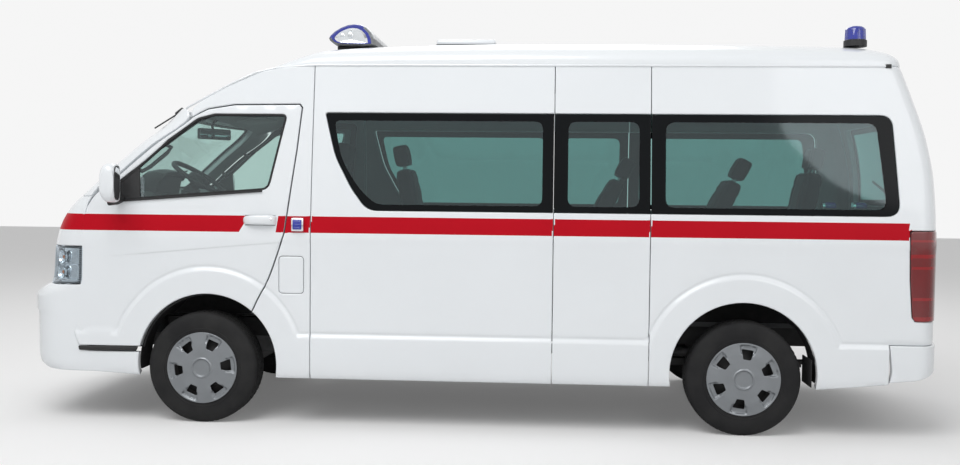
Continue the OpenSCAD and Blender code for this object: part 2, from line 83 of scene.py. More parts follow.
def object_noise(tree, scale, detail=3.0, stretch=(1, 1, 1)):
    """Noise in the object's own coordinates, so that it moves with its piece."""
    place = tree.nodes.new("ShaderNodeTexCoord")
    mapping = tree.nodes.new("ShaderNodeMapping")
    mapping.inputs["Scale"].default_value = stretch
    texture = tree.nodes.new("ShaderNodeTexNoise")
    texture.inputs["Scale"].default_value = scale
    texture.inputs["Detail"].default_value = detail
    tree.links.new(place.outputs["Object"], mapping.inputs["Vector"])
    tree.links.new(mapping.outputs["Vector"], texture.inputs["Vector"])
    return texture.outputs["Fac"]


def ramp(tree, source, stops):
    node = tree.nodes.new("ShaderNodeValToRGB")
    elements = node.color_ramp.elements
    while len(elements) < len(stops):
        elements.new(0.5)
    for element, (place, color) in zip(elements, stops):
        element.position = place
        element.color = (*color, 1)
    tree.links.new(source, node.inputs["Fac"])
    return node.outputs["Color"]


def bump(tree, shader, source, height, strength=1.0):
    node = tree.nodes.new("ShaderNodeBump")
    node.inputs["Distance"].default_value = height
    node.inputs["Strength"].default_value = strength
    tree.links.new(source, node.inputs["Height"])
    tree.links.new(node.outputs["Normal"], shader.inputs["Normal"])


def spread(color, share):
    return tuple(min(1.0, c * (1 + share)) for c in color)


def worn_material(name, color, roughness, variation, scale, height=0.0, bump_scale=None, **kw):
    """Colour that drifts a little over the surface, with a fine bump and uneven gloss."""
    made, tree, shader = new_material(name, color, roughness, **kw)
    tone = object_noise(tree, scale)
    stops = [(0.3, spread(color, -variation)), (0.7, spread(color, variation))]
    tree.links.new(ramp(tree, tone, stops), shader.inputs["Base Color"])
    gloss = tree.nodes.new("ShaderNodeMapRange")
    gloss.inputs["To Min"].default_value = max(0.02, roughness * 0.85)
    gloss.inputs["To Max"].default_value = min(1.0, roughness * 1.2)
    tree.links.new(object_noise(tree, scale * 3), gloss.inputs["Value"])
    tree.links.new(gloss.outputs["Result"], shader.inputs["Roughness"])
    if height:
        bump(tree, shader, object_noise(tree, bump_scale or scale * 20, 4.0), height)
    return made


PAINT = (0.78, 0.81, 0.835)
RED = (0.46, 0.0025, 0.012)
paint = worn_material("paint_white", PAINT, 0.32, 0.012, 1.6, 0.00015, 40, coat=0.6)
stripe = worn_material("stripe_red", RED, 0.42, 0.03, 3.0, 0.0001, 60, Specular_IOR_Level=0.12)
trim = worn_material("trim_black", (0.012, 0.012, 0.013), 0.5, 0.2, 30, 0.0002, 400)
rubber = worn_material("seal_rubber", (0.01, 0.01, 0.011), 0.75, 0.15, 25, 0.0003, 300)
frit = worn_material("glass_border", (0.003, 0.004, 0.005), 0.12, 0.1, 6, Specular_IOR_Level=0.12)
lining = worn_material("cabin_lining", (0.42, 0.44, 0.44), 0.75, 0.04, 8, 0.0004, 260)
plastic = worn_material("cab_plastic", (0.085, 0.10, 0.105), 0.6, 0.08, 12, 0.0004, 350)
plastic_dark = worn_material("cab_plastic_dark", (0.03, 0.034, 0.037), 0.6, 0.1, 12, 0.00015, 350)
chassis = worn_material("chassis_black", (0.02, 0.02, 0.021), 0.6, 0.25, 9, 0.0008, 120)
underside = worn_material("underbody_grey", (0.10, 0.105, 0.11), 0.75, 0.15, 7, 0.0006, 150)
casting = worn_material("cast_metal", (0.16, 0.16, 0.165), 0.55, 0.2, 20, 0.0008, 160, metallic=0.6)
steel = worn_material("exhaust_steel", (0.33, 0.31, 0.29), 0.4, 0.15, 14, 0.0003, 90, metallic=0.9)
chrome = worn_material("chrome", (0.82, 0.83, 0.85), 0.08, 0.02, 9, metallic=1.0)
silver = worn_material("wheel_silver", (0.22, 0.235, 0.25), 0.36, 0.05, 12, 0.0001, 300, metallic=0.6,
                       coat=0.3)
reflector = worn_material("lamp_reflector", (0.75, 0.78, 0.80), 0.16, 0.05, 18, metallic=0.9)
tank = worn_material("tank_plastic", (0.018, 0.018, 0.02), 0.5, 0.15, 10, 0.0003, 200)
liner = worn_material("liner_plastic", (0.008, 0.008, 0.009), 0.8, 0.3, 9, 0.0006, 120)


def rubber_tyre():
    made, tree, shader = new_material("tyre_rubber", (0.010, 0.010, 0.011), 0.78, Specular_IOR_Level=0.3)
    dust = object_noise(tree, 7.0, 5.0)
    tree.links.new(ramp(tree, dust, [(0.35, (0.009, 0.009, 0.010)), (0.75, (0.020, 0.020, 0.020))]),
                   shader.inputs["Base Color"])
    bump(tree, shader, object_noise(tree, 420.0), 0.0003)
    return made


def glass_material(name, tint, gloss=0.045, mirrored_share=0.05, most=0.75):
    """Thin tinted glass: what lies behind shows through unbent, and it mirrors more at a slant."""
    made = bpy.data.materials.new(name)
    made.use_nodes = True
    tree = made.node_tree
    tree.nodes.remove(tree.nodes["Principled BSDF"])
    clear = tree.nodes.new("ShaderNodeBsdfTransparent")
    clear.inputs["Color"].default_value = (*tint, 1)
    shine = tree.nodes.new("ShaderNodeBsdfGlossy")
    shine.inputs["Color"].default_value = (0.9, 0.95, 1, 1)
    shine.inputs["Roughness"].default_value = gloss
    slant = tree.nodes.new("ShaderNodeLayerWeight")
    slant.inputs["Blend"].default_value = 0.5
    curve = tree.nodes.new("ShaderNodeMath")
    curve.operation = "POWER"
    curve.inputs[1].default_value = 4.0
    share = tree.nodes.new("ShaderNodeMapRange")
    share.inputs["To Min"].default_value = mirrored_share
    share.inputs["To Max"].default_value = most
    tree.links.new(slant.outputs["Facing"], curve.inputs[0])
    tree.links.new(curve.outputs["Value"], share.inputs["Value"])
    mix = tree.nodes.new("ShaderNodeMixShader")
    tree.links.new(share.outputs["Result"], mix.inputs["Fac"])
    tree.links.new(clear.outputs["BSDF"], mix.inputs[1])
    tree.links.new(shine.outputs["BSDF"], mix.inputs[2])
    tree.links.new(mix.outputs["Shader"], tree.nodes["Material Output"].inputs["Surface"])
    return made


def lens_material(name, color, roughness=0.12, passes=0.35):
    """Moulded lens plastic, part clear, with colour that drifts a little over the surface."""
    made, tree, shader = new_material(name, color, roughness, coat=0.8)
    shader.inputs["Transmission Weight"].default_value = passes
    shader.inputs["IOR"].default_value = 1.49
    tone = object_noise(tree, 5.0)
    tree.links.new(ramp(tree, tone, [(0.3, spread(color, -0.1)), (0.7, spread(color, 0.1))]),
                   shader.inputs["Base Color"])
    return made


tyre_rubber = rubber_tyre()
door_glass = glass_material("glass_clear", (0.80, 0.885, 0.865), 0.045, 0.05, 0.5)
side_glass = glass_material("glass_side", (0.52, 0.68, 0.665))
lens_red = lens_material("lens_red", (0.42, 0.004, 0.008))
lens_red_dark = lens_material("lens_red_dark", (0.18, 0.002, 0.004), 0.2, 0.2)
lens_blue = lens_material("lens_blue", (0.012, 0.03, 0.42))
lens_clear = glass_material("lens_clear", (0.90, 0.93, 0.95), 0.03)
lens_amber = lens_material("lens_amber", (0.75, 0.20, 0.01))
grey_plastic = worn_material("lamp_body_grey", (0.20, 0.205, 0.21), 0.5, 0.05, 14, 0.0003, 200)
lens_pale = lens_material("lens_pale", (0.75, 0.78, 0.80), 0.1, 0.3)
mirror_glass = worn_material("mirror_glass", (0.75, 0.77, 0.78), 0.03, 0.01, 5, metallic=1.0)


def seat_cloth():
    """Dark red and black cloth in fine woven rows."""
    made, tree, shader = new_material("seat_cloth", (0.05, 0.008, 0.012), 0.9, Sheen_Weight=0.3)
    place = tree.nodes.new("ShaderNodeTexCoord")
    weave = tree.nodes.new("ShaderNodeTexWave")
    weave.inputs["Scale"].default_value = 180
    weave.inputs["Distortion"].default_value = 1.5
    tree.links.new(place.outputs["Object"], weave.inputs["Vector"])
    blotch = object_noise(tree, 6.0, 4.0)
    tree.links.new(ramp(tree, blotch, [(0.35, (0.018, 0.012, 0.014)), (0.65, (0.085, 0.010, 0.016))]),
                   shader.inputs["Base Color"])
    bump(tree, shader, weave.outputs["Fac"], 0.0006)
    return made


cloth = seat_cloth()

# ---- outer surface of the body ----

GUTTER_Z = 2.095
TAIL_POWER = 3.2
NOSE_ARC = 1.15
TAIL_ARC = 1.05
TAIL_DEPTH = 0.185
SIDE_START = -2.24

# Columns: height, half width
width_rows = [(0.25, 0.905), (0.29, 0.928), (0.34, 0.934), (0.53, 0.936), (0.80, 0.937), (1.07, 0.938),
              (1.25, 0.926), (1.56, 0.896), (1.81, 0.866), (1.92, 0.851), (2.095, 0.830), (2.2, 0.82)]
# Columns: height, X of the front on the centre line
front_rows = [(0.25, -2.57), (0.29, -2.61), (0.33, -2.66), (0.38, -2.672), (0.62, -2.676), (0.65, -2.688),
              (0.72, -2.688), (0.76, -2.664), (0.80, -2.612), (0.83, -2.602), (1.00, -2.590),
              (1.10, -2.563),
              (1.18, -2.530), (1.247, -2.485), (1.31, -2.42), (1.365, -2.356), (1.50, -2.211),
              (1.70, -1.996),
              (1.855, -1.830), (1.95, -1.64), (2.037, -1.455), (2.10, -1.30)]
# Columns: height, how square the nose is in plan, as the power of its superellipse
square_rows = [(0.25, 3.6), (0.31, 4.4), (0.74, 4.4), (0.82, 3.4), (1.20, 3.3), (1.40, 3.4), (1.60, 3.1),
               (1.76, 2.6), (1.86, 2.45), (1.96, 2.5), (2.10, 2.5)]
# Columns: height, X where the side starts behind the curve of the nose
start_rows = [(0.25, SIDE_START), (1.12, SIDE_START), (1.25, -2.19), (1.33, -2.12), (1.433, -2.02),
              (1.62, -1.82), (1.776, -1.62), (1.86, -1.59), (1.987, -1.395), (2.046, -1.27), (2.095, -0.94)]
# Columns: height, X of the tail on the centre line
tail_rows = [(0.25, 2.60), (0.40, 2.655), (0.56, 2.655), (1.204, 2.656), (1.441, 2.645), (1.678, 2.605),
             (1.902, 2.535), (2.05, 2.482), (2.127, 2.449), (2.20, 2.40)]
# Columns: X, height of the centre line over the roof
crown_rows = [(-1.95, 1.742), (-1.83, 1.855), (-1.64, 1.95), (-1.455, 2.037), (-1.145, 2.161),
              (-0.90, 2.229),
              (-0.468, 2.257), (0.3, 2.275), (1.2, 2.271), (2.0, 2.258), (2.2, 2.249), (2.33, 2.222),
              (2.40, 2.185), (2.449, 2.127), (2.50, 2.05)]
# Columns: X, height of the gutter
gutter_rows = [(-1.95, 1.70), (-1.678, 1.850), (-1.414, 1.987), (-1.283, 2.046), (-1.154, 2.078),
               (-0.933, 2.093), (0.0, GUTTER_Z), (2.5, GUTTER_Z)]


def smooth_rows(rows, at):
    """Value at each place, on a smooth curve through the rows that doesn't overshoot."""
    xs = np.array([r[0] for r in rows], float)
    ys = np.array([r[1] for r in rows], float)
    h = np.diff(xs)
    d = np.diff(ys) / h
    slope = np.zeros(len(xs))
    same = d[:-1] * d[1:] > 0
    w1, w2 = 2 * h[1:] + h[:-1], h[1:] + 2 * h[:-1]
    with np.errstate(divide="ignore", invalid="ignore"):
        mean = (w1 + w2) / (w1 / d[:-1] + w2 / d[1:])
    slope[1:-1] = np.where(same, np.nan_to_num(mean), 0)
    slope[0], slope[-1] = d[0], d[-1]
    at = np.clip(np.asarray(at, float), xs[0], xs[-1])
    i = np.clip(np.searchsorted(xs, at) - 1, 0, len(h) - 1)
    t = (at - xs[i]) / h[i]
    t2, t3 = t * t, t * t * t
    return ((2 * t3 - 3 * t2 + 1) * ys[i] + (t3 - 2 * t2 + t) * h[i] * slope[i]
            + (3 * t2 - 2 * t3) * ys[i + 1] + (t3 - t2) * h[i] * slope[i + 1])


def smooth_step(value):
    t = np.clip(value, 0, 1)
    return t * t * (3 - 2 * t)


def turn_x(start, depth, theta, power):
    return start + depth * np.sin(theta) ** (2 / power)


def round_width(width, theta, power):
    return width * np.clip(np.cos(theta), 0, 1) ** (2 / power)


def skin(u, z, side=-1):
    """Point on the body at height z. u is X along the side, and runs on round the nose and the tail."""
    u, z = np.broadcast_arrays(np.asarray(u, float), np.asarray(z, float))
    width = smooth_rows(width_rows, z)
    start = smooth_rows(start_rows, z)
    nose = smooth_rows(front_rows, z)
    tail = smooth_rows(tail_rows, z)
    end = tail - TAIL_DEPTH
    square = smooth_rows(square_rows, z)
    ahead = np.radians(90) * np.clip((start - u) / NOSE_ARC, 0, 1)
    behind = np.radians(90) * np.clip((u - end) / TAIL_ARC, 0, 1)
    x = np.where(u < start, turn_x(start, nose - start, ahead, square),
                 np.where(u > end, turn_x(end, TAIL_DEPTH, behind, TAIL_POWER), u))
    y = np.where(u < start, round_width(width, ahead, square),
                 np.where(u > end, round_width(width, behind, TAIL_POWER), width))
    return np.stack([x, side * y, z], -1)


def nose_u(x, z):
    """u of the place at X and height z on the curve of the nose."""
    start, nose = float(smooth_rows(start_rows, z)), float(smooth_rows(front_rows, z))
    share = min(1.0, max(0.0, (start - x) / (start - nose)))
    square = float(smooth_rows(square_rows, z))
    return start - NOSE_ARC * math.degrees(math.asin(share ** (square / 2))) / 90


def nose_face(v, z):
    """Point on the front, where v is the way round from the centre line, left negative."""
    start = smooth_rows(start_rows, z)
    point = skin(start - NOSE_ARC + np.abs(v), z)
    point[..., 1] *= -np.sign(v)
    return point


def front_at(y, z):
    """Point of the front at that Y and height."""
    width = smooth_rows(width_rows, z)
    start, nose = smooth_rows(start_rows, z), smooth_rows(front_rows, z)
    share = np.clip(np.abs(y) / width, 0, 1)
    square = smooth_rows(square_rows, z)
    return np.stack([start - (start - nose) * (1 - share ** square) ** (1 / square),
                     y + 0 * z, z + 0 * y], -1)


ARCHES = [(-1.542, 0.347), (1.529, 0.347)]
ARCH_R = 0.41
FLARE_R = 0.562
SILL_CREASE = 0.53
# Radii at which the flare's groove and ridge need an edge in the mesh
FLARE_RINGS = [FLARE_R + out for out in (0.020, 0.013, 0.006, -0.002, -0.014, -0.028)]
# Columns: X, height of the crease below the windows
WAIST_FOLD = [(-2.3, 0.96), (-2.0, 0.985), (-1.3, 1.05), (-1.05, 1.07)]


def pressed(point, side=-1):
    """The side's pressed lines: flared arches, the raised sill and the crease under the stripe."""
    x, z = point[..., 0], point[..., 2]
    away = z - SILL_CREASE
    for ax, az in ARCHES:
        away = np.minimum(away, np.hypot(x - ax, z - az) - FLARE_R)
    raised = 0.009 * smooth_step(-away / 0.028) - 0.0045 * np.exp(-((away - 0.006) / 0.008) ** 2)
    fold = np.interp(x, *np.array(WAIST_FOLD).T)
    waist = 0.005 * smooth_step((fold - z) / 0.014) * smooth_step((x + 2.2) / 0.3)
    lift = raised - waist
    moved = point.copy()
    moved[..., 1] += side * lift
    return moved


# ---- panel maker ----


def shrink(outline, gap):
    """The outline moved inwards by gap; its points run anticlockwise."""
    pts = np.array(outline, float)
    before = pts - np.roll(pts, 1, 0)
    after = np.roll(pts, -1, 0) - pts
    before /= np.linalg.norm(before, axis=1)[:, None]
    after /= np.linalg.norm(after, axis=1)[:, None]
    n = np.stack([before[:, 1], -before[:, 0]], 1)
    m = np.stack([after[:, 1], -after[:, 0]], 1)
    scale = 1 / np.maximum(0.3, 1 + (n * m).sum(1))
    return pts - gap * (n + m) * scale[:, None]


def area_of(outline):
    pts = np.array(outline, float)
    nxt = np.roll(pts, -1, 0)
    return 0.5 * float((pts[:, 0] * nxt[:, 1] - nxt[:, 0] * pts[:, 1]).sum())


def anticlockwise(outline):
    return list(outline) if area_of(outline) > 0 else list(reversed(list(outline)))


def divided(outline, step, closed=True):
    """The outline with each edge cut into lengths of about step."""
    pts = [np.array(p, float) for p in outline]
    out = []
    count = len(pts) if closed else len(pts) - 1
    for i in range(count):
        a, b = pts[i], pts[(i + 1) % len(pts)]
        parts = max(1, int(math.ceil(np.linalg.norm(b - a) / step)))
        out += [a + (b - a) * k / parts for k in range(parts)]
    if not closed:
        out.append(pts[-1])
    return out


def inside(points, outline):
    """Even-odd test of many points against one outline."""
    poly = np.array(outline, float)
    x, y = points[:, 0], points[:, 1]
    hit = np.zeros(len(points), bool)
    j = len(poly) - 1
    for i in range(len(poly)):
        xi, yi, xj, yj = poly[i][0], poly[i][1], poly[j][0], poly[j][1]
        if yi != yj:
            cross = ((yi > y) != (yj > y)) & (x < (xj - xi) * (y - yi) / (yj - yi) + xi)
            hit ^= cross
        j = i
    return hit


def rounded(corners, radius, steps=4):
    """The polygon with its corners rounded; radius is one number or one for each corner."""
    pts = [np.array(p, float) for p in corners]
    radii = radius if isinstance(radius, (list, tuple)) else [radius] * len(pts)
    out = []
    for i, p in enumerate(pts):
        a, b = pts[i - 1] - p, pts[(i + 1) % len(pts)] - p
        la, lb = np.linalg.norm(a), np.linalg.norm(b)
        a, b = a / la, b / lb
        half = 0.5 * math.acos(max(-1, min(1, float(a @ b))))
        cut = min(radii[i] / math.tan(half), 0.45 * la, 0.45 * lb) if radii[i] else 0
        if cut <= 1e-6 or half > 1.5:
            out.append(p)
            continue
        for k in range(steps + 1):
            t = k / steps
            out.append((1 - t) ** 2 * (p + a * cut) + 2 * t * (1 - t) * p + t * t * (p + b * cut))
    return out


def arc_points(cx, cz, r, a0, a1, steps):
    return [(cx + r * math.cos(math.radians(a0 + (a1 - a0) * k / steps)),
             cz + r * math.sin(math.radians(a0 + (a1 - a0) * k / steps))) for k in range(steps + 1)]


def link(piece):
    bpy.context.scene.collection.objects.link(piece)
    return piece


def mesh_piece(name, verts, faces, materials, body, indices=None, smooth=True):
    data = bpy.data.meshes.new(name)
    data.from_pydata([tuple(float(c) for c in v) for v in verts], [], faces)
    for material in materials:
        data.materials.append(material)
    if indices is not None:
        data.polygons.foreach_set("material_index", np.array(indices, np.int32))
    data.polygons.foreach_set("use_smooth", np.full(len(data.polygons), smooth))
    data.update()
    piece = link(bpy.data.objects.new(name, data))
    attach(piece, body)
    return piece


EDGE = 0.0028


def crossed(loop, lines):
    """The closed loop with a point added wherever one of the lines crosses it."""
    result = []
    for a, b in zip(loop, list(loop[1:]) + [loop[0]]):
        a, way = np.array(a, float), np.array(b, float) - np.array(a, float)
        result.append(tuple(a))
        shares = []
        for line in lines:
            for c, d in zip(line[:-1], line[1:]):
                offset, step_to = np.array(c, float) - a, np.array(d, float) - np.array(c, float)
                spread_of = way[0] * step_to[1] - way[1] * step_to[0]
                if abs(spread_of) < 1e-12:
                    continue
                share = (offset[0] * step_to[1] - offset[1] * step_to[0]) / spread_of
                along = (offset[0] * way[1] - offset[1] * way[0]) / spread_of
                if 0.08 < share < 0.92 and -0.01 <= along <= 1.01:
                    shares.append(share)
        spaced = [t for i, t in enumerate(sorted(shares)) if i == 0 or t - sorted(shares)[i - 1] > 0.08]
        result += [tuple(a + way * t) for t in spaced]
    return result


def panel(name, outline, surface, depth, materials, body, holes=(), step=0.03, lines=(),
          paint_of=None, back=True, edge=EDGE, back_index=2):
    """A curved panel: its outline and holes are in surface's own two coordinates.

    Materials are front, rim and back.
    """
    loops = [crossed(divided(anticlockwise(outline), step), lines)]
    loops += [crossed(list(reversed(divided(anticlockwise(h), step))), lines) for h in holes]
    shrunk = [shrink(loop, edge) for loop in loops]
    tight = [shrink(loop, edge * 2.2) for loop in loops]
    outer = np.array(tight[0])
    low, high = outer.min(0), outer.max(0)
    xs = np.arange(low[0] + step * 0.6, high[0], step)
    ys = np.arange(low[1] + step * 0.6, high[1], step)
    grid = [(x + (0.5 * step if k % 2 else 0), y) for k, y in enumerate(ys) for x in xs]
    grid = np.array(grid, float).reshape(-1, 2)
    keep = inside(grid, tight[0])
    for hole in tight[1:]:
        keep &= ~inside(grid, hole)
    rim = np.concatenate([np.array(t) for t in tight])
    kept = grid[keep]
    extra, edges = [], []
    for line in lines:
        pts = np.array(divided(line, step * 0.7, closed=False))
        ok = inside(pts, tight[0])
        for hole in tight[1:]:
            ok &= ~inside(pts, hole)
        near = np.array([np.min(np.hypot(*(rim - p).T)) > step * 0.2 for p in pts])
        ok &= near
        for i, p in enumerate(pts):
            if ok[i] and i and ok[i - 1]:
                edges.append((len(extra) - 1, len(extra)))
            if ok[i]:
                extra.append(p)
    blockers = rim if not extra else np.concatenate([rim, np.array(extra)])
    far = []
    for chunk in np.array_split(kept, max(1, len(kept) // 400)):
        if len(chunk):
            gap = np.sqrt(((chunk[:, None, :] - blockers[None]) ** 2).sum(-1)).min(1)
            far.append(chunk[gap > step * 0.42])
    kept = np.concatenate(far) if far else np.zeros((0, 2))
    points, borders = [], []
    for loop in tight:
        first = len(points)
        points += [tuple(p) for p in loop]
        borders += [(first + i, first + (i + 1) % len(loop)) for i in range(len(loop))]
    first = len(points)
    points += [tuple(p) for p in extra]
    borders += [(first + a, first + b) for a, b in edges]
    points += [tuple(p) for p in kept]
    made = geometry.delaunay_2d_cdt([Vector(p) for p in points], borders, [], 0, 1e-6)
    flat = np.array([tuple(v) for v in made[0]], float)
    source = made[3]
    tris = np.array([f for f in made[2] if len(f) == 3])
    middle = flat[tris].mean(1)
    ok = inside(middle, tight[0])
    for hole in tight[1:]:
        ok &= ~inside(middle, hole)
    tris = tris[ok]
    at = {o: i for i, origin in enumerate(source) for o in origin}

    def place(uv, sink=0.0):
        uv = np.asarray(uv, float)
        base = surface(uv[:, 0], uv[:, 1])
        h = 0.0015
        du = surface(uv[:, 0] + h, uv[:, 1]) - surface(uv[:, 0] - h, uv[:, 1])
        dv = surface(uv[:, 0], uv[:, 1] + h) - surface(uv[:, 0], uv[:, 1] - h)
        n = np.cross(du, dv)
        n /= np.maximum(1e-12, np.linalg.norm(n, axis=1))[:, None]
        return base - sink * n, n

    verts, normals = place(flat)
    probe = surface(np.array([flat[:, 0].mean()]), np.array([flat[:, 1].mean()]))[0]
    outward = np.array([probe[0] * (abs(probe[1]) < 0.75), probe[1], 0.2])
    middle_n = normals[np.argmin(np.hypot(*(flat - flat.mean(0)).T))]
    turn = 1 if float(middle_n @ outward) > 0 else -1
    normals = normals * turn
    count = len(verts)
    all_verts = [verts]
    faces = [tuple(t if turn > 0 else t[::-1]) for t in tris]
    heights = flat[tris].mean(1)
    spots = verts[tris].mean(1)
    indices = [paint_of(a, s) if paint_of else 0 for a, s in zip(heights, spots)]
    front_faces = len(faces)
    if back:
        all_verts.append(verts - depth * normals)
        faces += [tuple(v + count for v in f[::-1]) for f in faces[:front_faces]]
        indices += indices[:front_faces] if back_index is None else [back_index] * front_faces
    total = count * (2 if back else 1)
    first = 0
    for loop, thin in zip(loops, shrunk):
        size = len(loop)
        ring = [at[first + i] for i in range(size)]
        first += size
        levels = [(thin, edge * 0.25), (loop, edge * 1.2), (loop, edge * 3), (loop, depth - edge)]
        rows = [ring]
        for uv, sink in levels:
            spot, n = place(uv, 0.0)
            all_verts.append(spot - sink * n * turn)
            rows.append([total + i for i in range(size)])
            total += size
        if back:
            rows.append([r + count for r in ring])
        for k in range(len(rows) - 1):
            tone = 1 if k >= 2 and back_index is not None else None
            for i in range(size):
                j = (i + 1) % size
                face = (rows[k][i], rows[k][j], rows[k + 1][j], rows[k + 1][i])
                faces.append(face[::-1] if turn > 0 else face)
                if tone is None:
                    where = np.array(loop[i])
                    indices.append(paint_of(where, all_verts[0][ring[i]]) if paint_of else 0)
                else:
                    indices.append(tone)
    piece = mesh_piece(name, np.concatenate(all_verts), faces, materials, body, indices)
    data = piece.data
    custom = np.zeros((len(data.loops), 3))
    ends = front_faces * 3
    loop_verts = np.zeros(len(data.loops), np.int32)
    data.loops.foreach_get("vertex_index", loop_verts)
    custom[:ends] = normals[loop_verts[:ends]]
    if back:
        custom[ends:2 * ends] = -normals[loop_verts[ends:2 * ends] - count]
    data.normals_split_custom_set(custom.tolist())
    return piece


STRIPE = (1.117, 1.212)
BODY_SLOTS = [paint, paint, lining, stripe]


def striped(start=-9.0, end=9.0, gaps=()):
    """Material index by height: the red stripe, broken by thin gaps at the seams."""
    def paint_of(flat, spot):
        if STRIPE[0] < spot[2] < STRIPE[1] and start < spot[0] < end:
            if all(abs(spot[0] - g) > 0.007 for g in gaps):
                return 3
        return 0
    return paint_of


def stripe_lines(u0, u1, gaps=()):
    lines = [[(u0, z), (u1, z)] for z in STRIPE]
    for g in gaps:
        for side in (-0.007, 0.007):
            lines.append([(g + side, STRIPE[0] - 0.02), (g + side, STRIPE[1] + 0.02)])
    return lines


# ---- outlines in side view, nose at -X ----

GAP = 0.004
SEAMS = [-0.936, 0.457, 1.003]
door_outline = (
    arc_points(*ARCHES[0], ARCH_R, 166.2, 50, 22)
    + [(-1.248, 0.727), (-1.212, 0.794), (-1.183, 0.855), (-1.158, 0.921), (-1.137, 0.983), (-1.113, 1.055),
       (-1.093, 1.117), (-1.030, 1.600), (-1.007, 1.840), (-1.020, 1.856), (-1.400, 1.852),
       (-1.556, 1.827), (-1.660, 1.776), (-1.869, 1.620), (-2.079, 1.433), (-2.180, 1.368), (-2.232, 1.320),
       (-2.256, 1.255), (-2.265, 1.170), (-2.265, 0.520), (-2.250, 0.445)]
)
door_outline = anticlockwise(door_outline)
door_window = anticlockwise(rounded(
    [(-2.070, 1.290), (-1.185, 1.362), (-1.086, 1.803), (-1.520, 1.803), (-1.617, 1.778), (-1.788, 1.649),
     (-1.968, 1.486), (-2.070, 1.400)], [0.02, 0.06, 0.03, 0.05, 0.1, 0.3, 0.3, 0.02]))
BAND_LOW, BAND_HIGH = 1.250, 1.810
glass_band = [
    rounded([(-0.863, BAND_HIGH), (-0.800, 1.560), (-0.705, 1.380), (-0.610, BAND_LOW),
             (SEAMS[1] - 0.003, BAND_LOW),
             (SEAMS[1] - 0.003, BAND_HIGH)], [0.012, 0.5, 0.5, 0.12, 0, 0], 6),
    [(SEAMS[1] + 0.003, BAND_LOW), (SEAMS[2] - 0.003, BAND_LOW), (SEAMS[2] - 0.003, BAND_HIGH),
     (SEAMS[1] + 0.003, BAND_HIGH)],
    rounded([(SEAMS[2] + 0.003, BAND_LOW), (2.372, BAND_LOW), (2.330, BAND_HIGH),
             (SEAMS[2] + 0.003, BAND_HIGH)],
            [0, 0.07, 0.07, 0], 6),
]
clear_pane = [
    rounded([(-0.812, 1.767), (-0.765, 1.540), (-0.660, 1.375), (-0.560, 1.284), (0.391, 1.284),
             (0.391, 1.767)],
            [0.03, 0.4, 0.4, 0.12, 0.05, 0.05], 6),
    rounded([(0.536, 1.284), (0.937, 1.284), (0.937, 1.767), (0.536, 1.767)], 0.05, 6),
    rounded([(1.085, 1.284), (2.300, 1.284), (2.245, 1.767), (1.085, 1.767)], 0.055, 6),
]
gutter_front = [(-1.700, 1.838), (-1.678, 1.850), (-1.414, 1.987), (-1.283, 2.046), (-1.154, 2.078),
                (-0.933, 2.093)]
lid_outline = rounded([(-1.118, 0.767), (-0.976, 0.767), (-0.976, 0.979), (-1.118, 0.979)], 0.022, 4)
SILL_Z = 0.272
BUMPER_SEAM = 2.328
TAIL_TURN = 0.455


def grown(outline, gap):
    return [tuple(p) for p in shrink(anticlockwise(outline), -gap)]


def tail_u(z):
    """u of the tail where the tailgate's edge is."""
    return float(smooth_rows(tail_rows, z)) - TAIL_DEPTH + TAIL_TURN


def side_surface(side):
    return lambda u, z: pressed(skin(u, z, side), side)


def door_rear_edge():
    """The door's rear edge from the arch up to the gutter, moved back by the gap."""
    ring = grown(door_outline, 2 * GAP)
    start = min(range(len(ring)), key=lambda i: math.hypot(ring[i][0] + 1.27, ring[i][1] - 0.66))
    ring = ring[start:] + ring[:start]
    return [p for p in ring if p[0] > -1.72 and p[1] > 0.60 and (p[0] > -1.3 or p[1] > 1.7)]


def arch_edge(index, a0, a1, steps=26, r=ARCH_R):
    return arc_points(*ARCHES[index], r, a0, a1, steps)


ARCH_DROP = math.degrees(math.asin((ARCHES[0][1] - SILL_Z) / ARCH_R))
LAMP_FRONT = [(2.424, 1.168), (2.430, 0.900), (2.445, 0.690), (2.462, 0.665)]
BODY_TOP = 2.089


def side_outline(index):
    """Outline of one of the four side panels, front to rear, in u and height."""
    if index == 0:
        front = door_rear_edge()
        down = front if front[0][1] > front[-1][1] else front[::-1]
        angle = math.degrees(math.atan2(down[-1][1] - ARCHES[0][1], down[-1][0] - ARCHES[0][0]))
        gutter = [(x, z - 0.005) for x, z in gutter_front[::-1]]
        return ([(SEAMS[0] - GAP / 2, SILL_Z), (SEAMS[0] - GAP / 2, BODY_TOP)] + gutter + down
                + arch_edge(0, angle, -ARCH_DROP, 16))
    if index in (1, 2):
        a, b = SEAMS[index - 1] + GAP / 2, SEAMS[index] - GAP / 2
        return [(a, SILL_Z), (b, SILL_Z), (b, BODY_TOP), (a, BODY_TOP)]
    start = SEAMS[2] + GAP / 2
    rear = [(tail_u(z), z) for z in (1.172, 1.35, 1.5, 1.65, 1.8, 1.95, 2.04, BODY_TOP)]
    return ([(start, SILL_Z)] + arch_edge(1, 180 + ARCH_DROP, -ARCH_DROP, 34)
            + [(BUMPER_SEAM, 0.312), (BUMPER_SEAM, 0.534), (tail_u(0.534), 0.534), (tail_u(0.66), 0.66)]
            + LAMP_FRONT[::-1] + [(2.436, 1.172)] + rear + [(start, BODY_TOP)])


SIDE_STRIPE_END = 2.424


